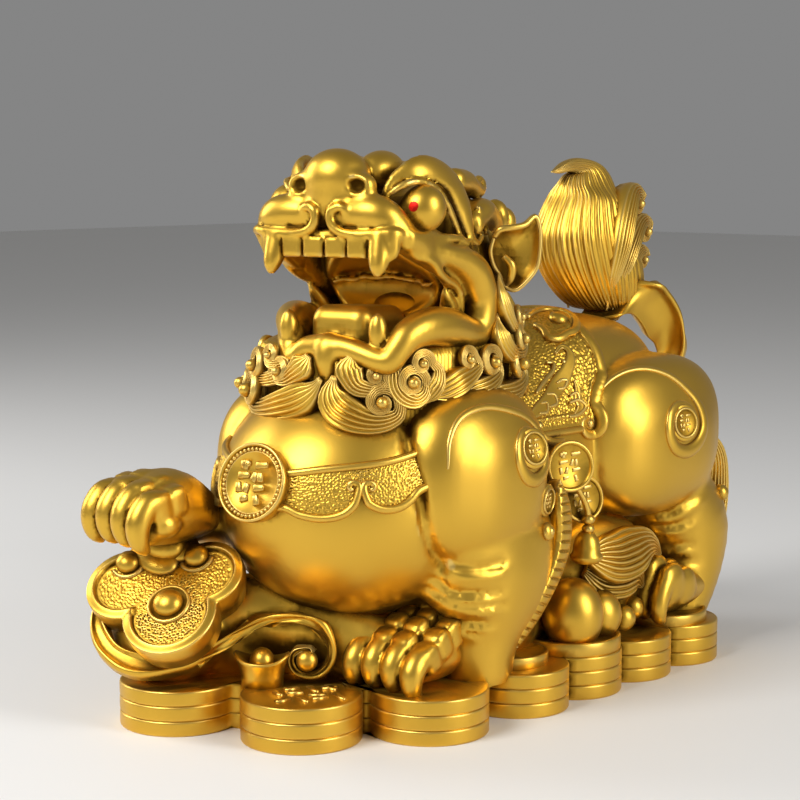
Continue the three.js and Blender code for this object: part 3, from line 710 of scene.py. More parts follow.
    # jaw: from the chin the lower lip dips to a point, then swells into one roll up to the cheek
    bothSides([[0, -78, 210, 6.8], [12, -78, 208.4, 6.8], [23, -77.5, 205.3, 6.8], [31, -76.5, 203, 6.8],
               [35, -75, 203.5, 7], [38.5, -71.5, 210, 7.6], [41, -66, 216, 8.6], [44, -55, 219.5, 10],
               [46, -40, 219.5, 10.8], [47, -27, 217, 10.6], [48, -14, 213.5, 9.8], [49, -6, 214.5, 9.6],
               [49.5, -2, 221, 9.7], [49.5, -1, 232, 10], [49.3, -5, 241, 10.6], [49, -11, 248, 10.2],
               [48.2, -22, 254, 8.4], [47, -35, 257.5, 6.2], [45.5, -45, 260, 4.4]], 120, 2.5, -10)
    # the edge of the upper lip, from its scroll under the nose to the corner of the mouth
    bothSides([[12.5, -83, 279.5, 1.8], [13, -83.5, 282.5, 2.2], [9.5, -84, 284, 2.6],
               [5.5, -84.5, 282, 2.8], [4.5, -84.5, 278, 2.8], [6.5, -84.5, 273.5, 2.8],
               [11.5, -84, 270.6, 2.6], [19, -83, 269.6, 2.6], [27, -82.5, 269.8, 2.5],
               [35, -81, 270.8, 2.5], [40.5, -77.5, 271, 2.4], [42.5, -72, 268, 2.4],
               [43, -67, 262.5, 2.4], [43.5, -62, 258, 2.4], [46, -55, 256.5, 2.6], [47, -49, 253.5, 2.6],
               [47, -43, 248.5, 2.6], [46.5, -35, 244.5, 2.6], [46, -27, 242, 2.8], [45.5, -20, 238, 3],
               [45, -16, 231, 3], [44, -15, 224, 2.8]], 90, 0.5, 6)
    # teeth and fangs
    clay.add(block((0, -75, 268), (40, 7.5, 4), 2), 1.5)
    for i in range(4):
        clay.add(block(((i - 1.5) * 13.4, -80.5, 262.8), (5.9, 4.5, 5.6), 0.8), 0.2)
    both(tube([[32, -79, 268, 6.2], [32.5, -81, 260, 6.0], [33, -83, 254, 4.8],
               [33, -84, 250, 2.6]], 16), 0.8)
    both(tube([[38, -77, 268, 5.0], [38.5, -78, 261, 3.8], [38.5, -79, 258, 2.0]], 10), 2)
    both(egg((28, -75, 218), (5.2, 5, 10.5)), 0.6)
    both(tube([[40.5, -17, 222, 6], [41.5, -22, 229, 5], [42.5, -27, 235, 3],
               [43, -30, 238.5, 1.2]], 14), 0.8)
    # the seam where palate and throat were joined, left ragged
    seam = np.random.default_rng(11).uniform(-1, 1, (26, 3)) * (0.7, 0.8, 0.8)
    ragged = []
    for x, (p, q, r) in zip(np.linspace(-30, 30, len(seam)), seam):
        ragged.append([x + p, -15.5 - 0.009 * x * x + q, 243.5 - 0.004 * x * x + r, 1.6])
    clay.add(tube(ragged, 120), 0.6)
    # the drop below the middle of the lip
    clay.add(egg((0, -81, 203), (7, 6.5, 10)), 4)
    clay.add(egg((0, -79, 195), (6, 5, 7)), 3)
    return clay


points, faces = headClay().skin()
makePiece("head", turnHead(points), faces)

# The eyeballs, with the painted mark on each

eyes = {"centre": (41.5, -51, 282.5), "radii": (12.4, 13.2, 12.4), "mark": (0.10, -0.98, 0.14),
        "markSize": 3.0,
        "around": 64, "rings": 44}


def eyeForms():
    batch = Batch()
    painted = []
    for s in (1, -1):
        x, y, z = eyes["centre"]
        points, faces = ball((s * x, y, z), eyes["radii"], (s * 0.4, -1, 0), eyes["around"], eyes["rings"])
        mark = np.array([s * x, y, z]) + unit((s * eyes["mark"][0],) + eyes["mark"][1:]) * eyes["radii"]
        away = np.linalg.norm(points - mark, axis=1)
        painted.append(smooth(eyes["markSize"] + 0.4, eyes["markSize"] - 0.4, away))
        batch.add(turnHead(points), faces)
    return batch, np.concatenate(painted)


eyeBatch, paint = eyeForms()
makePiece("eyeballs", *eyeBatch.all())

# The mane: a mass of hair with curled locks over it

mane = {"middle": (0, -12), "reach": (64, 74), "power": 2.5, "strands": 150, "perStrand": 4, "rings": 48,
        "deep": 1.9}


def maneNormal(points):
    # the slope of the oval, tipped up a little
    cx, cy = mane["middle"]
    rx, ry = mane["reach"]
    power = mane["power"] - 1
    x, y = (points[:, 0] - cx) / rx, (points[:, 1] - cy) / ry
    slope = np.column_stack([np.sign(x) * np.abs(x) ** power / rx, np.sign(y) * np.abs(y) ** power / ry,
                         np.full(len(x), 0.0015)])
    return slope / np.linalg.norm(slope, axis=1, keepdims=True)


# rings of the mass: height, middle y, half width and half depth
maneRings = [(162, -12, 34, 40), (165, -12, 52, 60), (169, -12, 58.5, 68), (178, -12, 61.5, 71.5),
             (192, -12, 62, 72), (205, -12, 61, 71), (210, -11, 56, 64), (214, 0, 54, 50),
             (218, 16, 53, 38), (226, 22, 51, 32), (236, 23, 47, 30), (246, 23, 46, 30), (258, 21, 45, 30),
             (270, 18, 42, 29), (282, 15, 36, 27), (291, 12, 27, 21), (297, 10, 17, 14), (300, 9, 6, 5)]


def maneForm():
    # squarish rings whose radius is cut by strands that lean as they rise
    rows = spline(np.array(maneRings, float)[:, [1, 2, 3, 0]], mane["rings"])
    strands = mane["strands"]
    count = strands * mane["perStrand"]
    turn = 2 * np.pi * np.arange(count) / count
    plan = np.column_stack([np.cos(turn), np.sin(turn)])
    plan = np.sign(plan) * np.abs(plan) ** (2 / mane["power"])
    z = rows[:, 3:4]
    lean = 0.035 * (z - 190) + 0.25 * np.sin(3 * turn)
    groove = np.abs(np.sin(strands / 2 * (turn + 0.4 * np.sign(np.cos(turn)) * lean))) ** 0.7
    cut = mane["deep"] * (1 - groove)
    x = (rows[:, 1:2] - cut) * plan[:, 0]
    y = rows[:, 0:1] + (rows[:, 2:3] - cut) * plan[:, 1]
    return closeRings(np.stack([x, y, z + 0 * x], -1))


makePiece("mane_mass", *maneForm())

# what every curled lock shares: each turn of the curl is 0.36 as far out as the one before
hair = {"shrinkPerTurn": 0.36, "firstTurn": 0.06, "lastTurn": 1.25, "curlSteps": 30, "leadSteps": 26,
        "perStrand": 4, "curlRise": 0.45, "curlFull": 1.45, "beadLift": 0.42, "beadSize": 0.33,
        "beadHeight": 0.36}
# each lock: x, y, z and half width along it, the middle of its curl, and which way it winds
beardLocks = [
    ([(27, -82, 195, 3.2), (26, -83, 187, 4.6), (29, -81, 179, 5.7),
      (36, -78, 174, 5.7), (43, -73, 171, 4.9), (49, -67, 171, 4.2),
      (53, -61, 174, 3.6), (54, -60, 179, 2.9)], (48, -68, 181), 1),
    ([(36, -78, 206, 4.0), (35, -79, 200, 4.2), (36, -78, 195, 4.0), (39, -77, 190, 3.5),
      (43, -73, 188, 3.0), (47, -69, 188, 2.6), (50, -66, 192, 2.3)], (46, -70, 195), 1),
    ([(19, -84, 193, 3.3), (13, -85, 186, 4.6), (3, -86, 180, 5.5), (-10, -86, 176, 5.2),
      (-25, -83, 173, 4.4), (-38, -77, 173, 3.6), (-45, -74, 177, 2.8)], (-35, -80, 182), -1),
    ([(11, -85, 205, 4.3), (8, -86, 200, 4.4), (2, -86, 195, 3.6), (-6, -86, 191, 2.8),
      (-14, -85, 191, 2.3), (-17, -85, 194, 2.0)], (-9, -86, 195), -1),
    ([(-22, -84, 191, 2.0), (-36, -78, 190, 2.2), (-46, -73, 190, 2.0),
      (-54, -66, 188, 1.8), (-55, -63, 184, 1.6)],
     (-49, -72, 184), -1),
    ([(-4, -86, 199, 2.4), (-11, -85, 193, 2.6), (-20, -84, 190, 2.6), (-31, -80, 189, 2.6),
      (-40, -75, 191, 2.4), (-41, -75, 196, 2.2)], (-32, -80, 196), -1),
    ([(-3, -86, 201, 2.4), (-11, -86, 199, 2.2), (-19, -85, 199, 2.0), (-23, -83, 202, 1.6)],
     (-17, -85, 203), -1)]
sideLocks = [
    ([(53, -62, 203, 2.7), (53, -62, 197, 3.0), (53, -61, 189, 3.4), (55, -58, 184, 3.6),
      (58, -53, 182, 3.6), (60, -48, 185, 3.2), (60, -46, 190, 2.5)], (57, -55, 191), 1),
    ([(60, -47, 180, 2.4), (61, -43, 186, 3.2), (62, -40, 191, 3.4),
      (62, -39, 197, 2.8), (61, -42, 201, 2.2)],
     (59, -49, 201), 1),
    ([(61, -43, 182, 2.2), (63, -33, 186, 3.8), (64, -24, 190, 4.7),
      (64, -15, 193, 4.0), (64, -8, 197, 3.0), (64, -10, 202, 2.1)], (64, -17, 201), 1),
    ([(64, -18, 183, 2.2), (64, -6, 184, 3.6), (63, 5, 187, 3.8), (62, 12, 191, 3.0), (62, 12, 197, 2.2)],
     (64, 2, 198), 1),
    ([(63, 5, 180, 2.2), (61, 21, 179, 3.6), (58, 34, 181, 3.8), (55, 43, 186, 3.2), (54, 44, 192, 2.4)],
     (57, 33, 194), 1),
    ([(58, 16, 224, 2.4), (62, 15, 211, 3.8), (60, 24, 202, 3.6),
      (56, 38, 200, 3.2), (53, 46, 203, 2.7), (53, 46, 209, 2.3)],
     (56, 37, 208), 1),
    ([(54, 22, 246, 2.0), (59, 20, 230, 3.0), (58, 28, 218, 2.8),
      (54, 38, 214, 2.4), (51, 46, 215, 2.0), (51, 47, 220, 1.7)],
     (53, 40, 220), 1),
    ([(40, 40, 240, 3.0), (40, 46, 228, 3.6), (38, 52, 218, 3.6),
      (32, 56, 212, 3.2), (25, 58, 214, 2.8), (23, 58, 220, 2.4)],
     (31, 56, 221), -1),
    ([(30, 46, 214, 3.0), (26, 54, 202, 3.8), (18, 59, 195, 3.8), (9, 60, 195, 3.2), (6, 60, 201, 2.6)],
     (14, 60, 203), -1),
    ([(52, 40, 190, 3.0), (48, 50, 180, 3.6), (40, 55, 176, 3.6), (31, 57, 179, 3.0), (30, 57, 185, 2.5)],
     (38, 56, 187), -1)]


def hairLock(batch, stations, centre, spin, normal=None, strands=6, fuller=0.9, dome=0.8):
    # the hair runs along the stations and winds round the centre: its distance from the centre
    # falls by the same share for each angle, and its width is the gap to its next winding
    rows = np.array(stations, float)
    mantle = normal is None
    normal = maneNormal(np.array([centre], float))[0] if mantle else unit(normal)
    arm = rows[-1, :3] - centre
    arm -= normal * (arm @ normal)
    radius = np.linalg.norm(arm)
    first = arm / radius
    second = np.cross(normal, first) * spin
    steps, shrink = hair["curlSteps"], hair["shrinkPerTurn"]
    turn = np.linspace(hair["firstTurn"], hair["lastTurn"], steps)
    size = shrink ** turn * radius
    angle = 2 * np.pi * turn
    flat = np.cos(angle)[:, None] * first + np.sin(angle)[:, None] * second
    curl = centre + normal * hair["curlRise"] * (radius - size)[:, None] + size[:, None] * flat
    lead = spline(rows, hair["leadSteps"])
    run = np.linspace(0, 1, hair["leadSteps"])
    leadWidth = lead[:, 3] * (1.2 + fuller * (1 - run)) * (0.25 + 0.75 * smooth(0, 0.22, run))
    curlWidth = np.minimum(size * (1 - shrink) / 2 * hair["curlFull"], leadWidth[-1])
    path = np.vstack([lead[:, :3], curl])
    wide = np.concatenate([leadWidth, curlWidth])
    normals = maneNormal(path) if mantle else np.tile(normal, (len(path), 1))
    weight = np.concatenate([run ** 3, np.ones(steps)])[:, None]
    normals = normals * (1 - weight) + normal * weight
    tall = wide * dome * np.concatenate([0.35 + 0.65 * smooth(0, 0.45, run), np.ones(steps)])
    section = strandSection(strands, 0.5, 1.1, hair["perStrand"])
    batch.add(*closeRings(carry(path, normals, wide, tall, section)))
    # a bead fills the middle of the curl
    top = np.array(centre) + normal * (radius * hair["beadLift"])
    bead = radius * hair["beadSize"]
    batch.add(*ball(top, (bead, bead, radius * hair["beadHeight"]), normal, 18, 12))


def maneForms():
    batch = Batch()
    for rows, centre, spin in beardLocks:
        hairLock(batch, rows, centre, spin)
    for s in (1, -1):
        for rows, centre, spin in sideLocks:
            hairLock(batch, np.array(rows) * (s, 1, 1, 1), np.array(centre) * (s, 1, 1), spin * s)
    return batch


makePiece("mane_locks", *maneForms().all())

# The tail: a flame of hair with curled locks behind it

tail = {"strands": 58, "perStrand": 5, "rings": 68, "deep": 0.055, "finerDeep": 0.035}
# its front and rear outline and its half width: y, z, y, z, half width
flame = [(203, 209, 206, 209, 3), (182, 212, 218, 213, 12), (160, 216, 228, 220, 19),
         (141, 230, 233, 229, 23), (129, 246, 231, 240, 25), (126, 262, 222, 254, 25),
         (132, 277, 214, 267, 23), (140, 288, 209, 279, 20), (146, 293, 204, 289, 14),
         (152, 298, 198, 299, 10), (157, 299, 187, 307, 8), (153, 299, 168, 311, 6),
         (146, 298, 154, 309, 4.5), (141, 299, 145, 304, 2.5), (139, 300, 141, 302, 1)]
# x, y, z and half width of each lock at the rear, and the middle of its curl
tailLocks = [
    ([(15, 178, 214, 2.5), (21, 177, 238, 5.5), (22, 181, 260, 7.5), (19, 190, 276, 7.5),
      (15, 201, 286, 6.2), (12, 212, 287, 4.8), (11, 219, 282, 3.6)], (13, 210, 280)),
    ([(14, 186, 214, 2.5), (20, 187, 240, 5.5), (19, 196, 256, 6.5),
      (15, 209, 266, 5.6), (12, 221, 269, 4.2), (10, 229, 264, 3.2)], (12, 220, 262)),
    ([(12, 198, 216, 2.5), (15, 200, 233, 4.4), (13, 208, 244, 4.6),
      (11, 219, 250, 3.8), (10, 227, 247, 2.8)], (11, 220, 244)),
    ([(8, 208, 214, 2.0), (9, 213, 225, 3.0), (9, 220, 231, 2.6), (8, 226, 230, 2.0)], (8, 222, 227))]


def tailFlame():
    # rings from the front outline to the rear one, their radius cut by strands
    path = spline(flame, tail["rings"])
    front, rear = path[:, 0:2], path[:, 2:4]
    count = tail["strands"] * tail["perStrand"]
    turn = 2 * np.pi * np.arange(count) / count
    rise = np.linspace(0, 1, len(path))[:, None]
    wave = turn[None, :] + 0.05 * np.sin(9 * rise + 2 * turn[None, :])
    groove = np.abs(np.sin(tail["strands"] / 2 * wave)) ** 0.6
    finer = np.abs(np.sin(tail["strands"] / 5 * wave + 0.7))
    cut = 1 - (tail["deep"] * (1 - groove) + tail["finerDeep"] * (1 - finer)) * smooth(0, 0.06, rise)
    # seen from the side the width shows too, so each ring is the shorter for it
    middle, half = (front + rear) / 2, (rear - front) / 2
    reach = np.linalg.norm(half, axis=1, keepdims=True)
    half = half * np.sqrt(np.maximum(1 - (1.1 * path[:, 4:5] / np.maximum(reach, 1)) ** 2, 0.2))
    flat = middle[:, None] + half[:, None] * (np.cos(turn) * cut)[:, :, None]
    x = path[:, 4:5] * np.sign(np.sin(turn)) * np.abs(np.sin(turn)) ** 0.8 * cut
    return closeRings(np.concatenate([x[:, :, None], flat], -1))


makePiece("tail_flame", *tailFlame())
tailCurls = Batch()
for s in (1, -1):
    for rows, centre in tailLocks:
        rows, centre = np.array(rows) * (s, 1, 1, 1), np.array(centre) * (s, 1, 1)
        hairLock(tailCurls, rows, centre, s, (s, 0.1, 0.05), 8, 0.1, 0.9)
makePiece("tail_curls", *tailCurls.all())


# Sheets of metal: a grid between two edges, with relief on it

def pits(u, v, pitch, seed=3):
    # 1 in the middle of scattered dots and 0 between them; one dot strays about in each square of a
    # grid, and the dots repeat after a number of squares
    repeat = 64
    stray = np.random.default_rng(seed).uniform(0.1, 0.9, (repeat, repeat, 3))
    row, column = np.floor(u / pitch).astype(int), np.floor(v / pitch).astype(int)
    best = np.zeros(np.shape(u))
    for di in (-1, 0, 1):
        for dj in (-1, 0, 1):
            dot = stray[(row + di) % repeat, (column + dj) % repeat]
            far = np.hypot(u / pitch - row - di - dot[..., 0], v / pitch - column - dj - dot[..., 1])
            best = np.maximum(best, 1 - (far / (0.26 + 0.18 * dot[..., 2])) ** 2)
    return np.maximum(best, 0)


def sheet(clay, start, height, heart, sink=2.5):
    # a grid of points settled on the clay and raised by height; its edge is drawn in, and closed to
    # a point inside
    rows, columns = start.shape[:2]
    points, normals = settle(clay, start.reshape(-1, 3))
    top = points + normals * height.reshape(-1, 1)
    count = rows * columns
    ring = edgeRing(rows, columns)
    here = np.arange(len(ring))
    after = (here + 1) % len(ring)
    wall = np.column_stack([ring[here], count + here, count + after, ring[after]])
    middle = np.full(len(ring), count + len(ring))
    fan = np.column_stack([count + after, count + here, middle, middle])
    skirt = points[ring] - normals[ring] * sink
    points = np.vstack([top, skirt, heart])
    return points, outward(points, np.vstack([gridFaces(rows, columns, False), wall, fan]))


def edgeRing(rows, columns):
    # the corners round the edge of a grid, in turn
    count = rows * columns
    return np.concatenate([np.arange(columns - 1), np.arange(columns - 1, count - 1, columns),
                           np.arange(count - 1, count - columns, -1),
                           np.arange(count - columns, 0, -columns)])


def closedSheet(top, under, rows, columns):
    # two grids of the same count joined round their edge
    count = rows * columns
    above = gridFaces(rows, columns, False)
    below = flipped(above) + count
    ring = edgeRing(rows, columns)
    after = np.roll(ring, -1)
    wall = np.column_stack([ring, ring + count, after + count, after])
    faces = np.vstack([above, below, wall])
    points = np.vstack([top, under])
    return points, outward(points, faces)


def band(batch, lower, upper, face, height, count=120, across=14, thick=5.0, belly=0.0):
    # a strip between two edges: height gives its relief from the shares along and across it, and
    # belly bends its middle out along face
    first, second = spline(lower, count), spline(upper, count)
    share = np.linspace(0, 1, across)
    start = first[:, None] * (1 - share)[None, :, None] + second[:, None] * share[None, :, None]
    along = np.gradient(start[:, across // 2], axis=0)
    normal = np.cross(along, second - first)
    normal /= np.linalg.norm(normal, axis=1, keepdims=True) + 1e-9
    normal *= np.sign(normal @ np.array(face, float))[:, None]
    bulge = belly * 4 * share * (1 - share)
    lift = height(np.linspace(0, 1, count)[:, None], share[None, :]) + bulge + np.zeros((count, 1))
    top = start + normal[:, None] * lift[:, :, None]
    under = start - normal[:, None] * (thick - bulge)[None, :, None]
    batch.add(*closedSheet(top.reshape(-1, 3), under.reshape(-1, 3), count, across))


# The ear: a bowl whose outline is listed as seen from the front, drawn back in its middle

ear = {
    "outline": [(53, 9, 266), (57, 9, 270), (62, 13, 271), (67, 19, 272.5), (70.5, 25, 277),
                (72.5, 27, 270), (72.5, 27, 258), (71, 26, 248), (66, 22, 240),
                (61, 19, 236), (56, 17, 238), (54, 15, 244), (52, 11, 250), (51.5, 8, 258)],
    "middle": (59, 15, 256), "oval": 13.5, "deep": 9.0, "thick": 3.0, "rim": 1.9, "steps": 20, "around": 80,
    "fold": [(56, 17, 238, 1.0), (60, 16, 243, 2.4), (61, 15, 250, 2.6), (57, 13, 255, 1.8)]}


def earForms():
    batch = Batch()
    loop = np.array(ear["outline"] + ear["outline"][:1], float)
    edge = spline(loop, ear["around"] + 1)[:-1]
    middle = np.array(ear["middle"], float)
    back = unit((-0.5, 0.87, 0.0))
    share = np.linspace(1, 0.03, ear["steps"])[:, None]
    # towards the middle the outline gives way to an oval that starts at the same corner
    across = unit((0.8, 0.46, 0))
    start = edge[0] - middle
    phase = math.atan2(start[2], start @ across)
    turn = phase - np.linspace(0, 2 * np.pi, ear["around"], endpoint=False)
    oval = ear["oval"] * (np.cos(turn)[:, None] * across + np.sin(turn)[:, None] * np.array([0, 0, 1.0]))
    weight = (share ** 2)[..., None]
    spread = middle + share[..., None] * (oval * (1 - weight) + (edge - middle) * weight)
    lip = np.exp(-((share - 0.94) / 0.06) ** 2)
    bowl = ear["deep"] * np.sqrt(1 - 0.999 * share ** 2)
    inner = spread + back * (bowl - lip)[..., None]
    thick = ear["thick"] * (1 - share ** 6) + 0.4
    outer = spread + back * (bowl + thick)[..., None]
    shell = closeRings(np.vstack([inner[::-1], outer]))
    roll = np.vstack([edge, edge[:2]]) - back * 0.6
    width = ear["rim"] - 0.7 * smooth(0.15, 0.4, np.linspace(0, 1, len(roll)))
    rim = closeRings(carry(roll, np.tile(-back, (len(roll), 1)), width, width, roundSection(10)))
    lobe = spline(ear["fold"], 24)
    fold = closeRings(carry(lobe[:, :3], np.tile(-back, (24, 1)), lobe[:, 3], lobe[:, 3], roundSection(10)))
    for s in (1, -1):
        for points, faces in (shell, rim, fold):
            side = points * (s, 1, 1)
            batch.add(turnHead(side), outward(side, faces))
    return batch


makePiece("ears", *earForms().all())

# Discs, rows of strokes and small coins


def disc(centre, normal, radius, profile, around=64):
    # a turned disc: profile is its radius as a share and its height, from the back to the front
    front = unit(normal)
    across = unit(np.cross((0, 0, 1), front))
    basis = np.stack([across, np.cross(front, across), front])
    turn = 2 * np.pi * np.arange(around) / around
    rings = np.stack([np.column_stack([radius * share * np.cos(turn), radius * share * np.sin(turn),
                                       np.full(around, high)])
                      for share, high in profile])
    return closeRings(rings @ basis + np.array(centre, float))


def strokes(batch, centre, normal, size, rows, deep=0.8, lean=(0, 0, 1), bold=0.12):
    # rows of short raised bars that aren't letters; each row lists where its bars start and end, and
    # whether they are upright
    front = unit(normal)
    across = unit(np.cross(lean, front))
    basis = np.stack([across, np.cross(front, across), front])
    pitch = 2 * size / len(rows)
    for index, row in enumerate(rows):
        y = size - pitch * (index + 0.5)
        for x0, x1, upright in row:
            if upright:
                low, high = y - pitch * 0.42, y + pitch * 0.42
            else:
                low, high = y, y + 0.08 * size
            a, b = np.array([x0 * size, low, 0]), np.array([x1 * size, high, 0])
            along = unit(b - a)
            side = np.array([-along[1], along[0], 0]) * size * bold
            corners = np.array([a - side, b - side * 0.7, b + side * 0.7, a + side])
            rings = np.stack([corners * (1, 1, 0) + (0, 0, -deep), corners + (0, 0, deep * 0.7),
                              corners * 0.8 + corners.mean(0) * 0.2 + (0, 0, deep)])
            batch.add(*closeRings(rings @ basis + np.array(centre, float)))


strokeRows = [
    [(-0.7, -0.2, False), (0.1, 0.75, False), (-0.45, -0.45, True)],
    [(-0.75, -0.15, False), (0.45, 0.4, True), (0.05, 0.2, True)],
    [(-0.6, -0.7, True), (-0.3, -0.2, True), (0.15, 0.7, False)],
    [(-0.5, -0.1, False), (0.45, 0.3, True)],
]

coinProfile = [(0.05, -1.0), (0.97, -1.0), (1.0, 0.4), (0.98, 0.9),
               (0.93, 1.2), (0.86, 1.1), (0.82, 0.55), (0.8, 0.4), (0.05, 0.4)]


def smallCoin(batch, centre, normal, radius, thick=2.4, around=48):
    # a coin with a raised rim and rows of strokes on its face
    profile = [(r, h * thick) for r, h in coinProfile]
    batch.add(*disc(centre, normal, radius, profile, around))
    strokes(batch, np.array(centre) + unit(normal) * 0.4 * thick, normal, radius * 0.6, strokeRows, 0.6)


# The breast strap: a pitted band with a scalloped lower edge, and its medallion

# edges and curls are listed as an angle from straight ahead and a height, the curls with a half width
strap = {"half": 74.0, "columns": 420, "rows": 62, "pitch": 1.5, "thick": 1.6, "pitDeep": 0.75,
         "reach": (79, 80), "middleY": -30,
         "top": [(0, 142), (14, 145), (28, 149), (42, 152), (56, 155.5), (72, 162)],
         "hem": [(0, 124), (12, 127), (19, 124), (27, 122.5), (34, 124), (38.5, 128), (42.5, 136),
                 (46, 130), (51, 127), (57, 127.5), (62, 131), (66, 136), (72, 139)],
         "nearCurl": [(41.6, 137.5, 2.3), (41.4, 140.5, 2.2), (39.4, 141.8, 2.0),
                      (37.8, 140.2, 1.8), (38.4, 138, 1.5), (39.4, 138.4, 1.0)],
         "farCurl": [(46, 138.4, 1.0), (47, 138, 1.5), (47.6, 140.2, 1.8),
                     (46, 141.8, 2.0), (43.8, 140.5, 2.2), (43.6, 137, 2.3)]}


def strapEdge(name, angles):
    # the hem is two curves that meet in a point
    rows = np.array(strap[name], float)
    parts = [spline(rows, 120)] if name == "top" else [spline(rows[:7], 60), spline(rows[6:], 60)[1:]]
    return np.interp(np.abs(angles), *np.vstack(parts).T)


def chestPoint(angles, z):
    # a point near the chest at an angle from straight ahead, at height z
    turn = np.radians(angles)
    rx, ry = strap["reach"]
    return np.stack([rx * np.sin(turn), strap["middleY"] - ry * np.cos(turn), z + 0 * turn], -1)


# the chest without its limbs, so that the strap passes in under the shoulders
chestClay = Clay((-92, -130, 90), (92, 20, 190), 2.5)
chestClay.add(egg(*body["chest"]))


def strapForms():
    batch = Batch()
    angles = np.linspace(-strap["half"], strap["half"], strap["columns"])
    low, high = strapEdge("hem", angles), strapEdge("top", angles)
    share = np.linspace(0, 1, strap["rows"])
    z = low[None, :] * (1 - share)[:, None] + high[None, :] * share[:, None]
    start = chestPoint(np.tile(angles, (strap["rows"], 1)), z)
    edge = np.minimum(z - low[None, :], high[None, :] - z)
    around = np.radians(angles)[None, :] * strap["reach"][0] + 0 * z
    height = strap["thick"] - strap["pitDeep"] * pits(around, z, strap["pitch"]) * smooth(1.5, 3, edge)
    batch.add(*sheet(chestClay, start, height, (0, -50, 135)))
    fine = np.linspace(-strap["half"], strap["half"], 60)
    rope(batch, chestClay, [[*chestPoint(angle, strapEdge("top", angle)), 2.2] for angle in fine], 240, 1.2)
    for s in (1, -1):
        # the hem's two scallops end in curls that face each other
        before = np.linspace(2, 40, 20)
        first = [(angle, strapEdge("hem", angle), 2.3) for angle in before] + strap["nearCurl"]
        beyond = np.linspace(45, strap["half"], 22)
        second = strap["farCurl"] + [(angle, strapEdge("hem", angle), 2.4) for angle in beyond]
        for line in (first, second):
            rope(batch, chestClay, [[*chestPoint(s * angle, z), wide] for angle, z, wide in line], 120, 1.5)
    return batch


makePiece("breast_strap", *strapForms().all())

medallion = {"centre": (0.2, -116.6, 139), "normal": (0.17, -0.94, 0.28), "radius": 21.5, "beads": 44}


def medallionForms():
    batch = Batch()
    centre, front, radius = np.array(medallion["centre"]), unit(medallion["normal"]), medallion["radius"]
    profile = [(0.03, -12), (0.9, -12), (0.99, -1.0), (1.0, 0.5), (0.99, 1.8),
               (0.965, 2.4), (0.935, 2.4), (0.91, 1.8), (0.9, 0.6), (0.88, 0.4),
               (0.79, 0.4), (0.78, 0.9), (0.765, 0.9), (0.755, 0.5), (0.03, 0.5)]
    batch.add(*disc(centre, front, radius, profile, 96))
    across = unit(np.cross((0, 0, 1), front))
    up = np.cross(front, across)
    for index in range(medallion["beads"]):
        turn = 2 * math.pi * index / medallion["beads"]
        place = centre + front * 0.7 + (across * math.cos(turn) + up * math.sin(turn)) * radius * 0.84
        batch.add(*ball(place, (1.15, 1.15, 1.15), front, 12, 8))
    strokes(batch, centre + front * 0.5, front, radius * 0.56, strokeRows, 1.5, bold=0.17)
    return batch


makePiece("medallion", *medallionForms().all())

# The saddle cloth: over the back, pitted ground, raised rim and scrolls of cloud

saddle = {"half": 80.0, "front": 20.0, "rows": 146, "columns": 300, "pitch": 1.9, "thick": 1.5,
          "reach": (62, 68), "middleZ": 140, "girth": 65, "pitDeep": 0.95,
          "lineHeight": 1.2, "lineIn": 8, "lineWidth": 1.1,
          "rear": [(0, 131), (12, 129), (22, 124), (30, 121), (37, 120.5),
                   (44, 120), (54, 117), (63, 109), (72, 104), (81, 100)]}


def backPoint(angles, y):
    # a point near the back at an angle from straight up
    turn = np.radians(angles)
    rx, rz = saddle["reach"]
    return np.stack([rx * np.sin(turn), y + 0 * turn, saddle["middleZ"] + rz * np.cos(turn)], -1)


def rearEdge(angles):
    rows = spline(np.array(saddle["rear"], float), 60)
    return np.interp(np.abs(angles), *rows.T)


def saddleForms():
    batch = Batch()
    angles = np.linspace(-saddle["half"], saddle["half"], saddle["columns"])
    share = np.linspace(0, 1, saddle["rows"])
    y = saddle["front"] + (rearEdge(angles)[None, :] - saddle["front"]) * share[:, None]
    start = backPoint(np.tile(angles, (saddle["rows"], 1)), y)
    around = np.radians(angles)[None, :] * saddle["girth"] + 0 * y
    edge = np.minimum(rearEdge(angles)[None, :] - y, (saddle["half"] - np.abs(angles))[None, :] * 1.1)
    pitted = pits(around, y, saddle["pitch"], 5) * smooth(3, 5, edge)
    ground = saddle["thick"] - saddle["pitDeep"] * pitted
    line = saddle["lineHeight"] * np.exp(-((edge - saddle["lineIn"]) / saddle["lineWidth"]) ** 2)
    batch.add(*sheet(trunkClay, start, ground + line, (0, 70, 150)))
    for s in (1, -1):
        rim = [(*backPoint(s * q, rearEdge(q) - 0.5), 4.4) for q in np.linspace(-2, 66, 40)]
        rope(batch, trunkClay, rim + [(s * x, y, z, wide) for x, y, z, wide in saddleCurl], 190, 0.9, 0.5)
        hem = [[*backPoint(s * saddle["half"], q), 2.2] for q in np.linspace(saddle["front"], 88, 14)]
        rope(batch, trunkClay, hem, 90, 1.2)
        flip = lambda line: [(s * x, y, z, wide) for x, y, z, wide in line]
        for line in saddlePlates:
            plateau(batch, trunkClay, flip(line), 2.6)
        for line in saddleLines:
            rope(batch, trunkClay, flip(line), 40, 2.2, 0.8)
        for x, y, z, r in saddleBosses:
            place, normal = settle(trunkClay, [[s * x, y, z]], 1.6)
            batch.add(*ball(place[0], (r, r, r * 0.7), normal[0], 22, 12))
    return batch


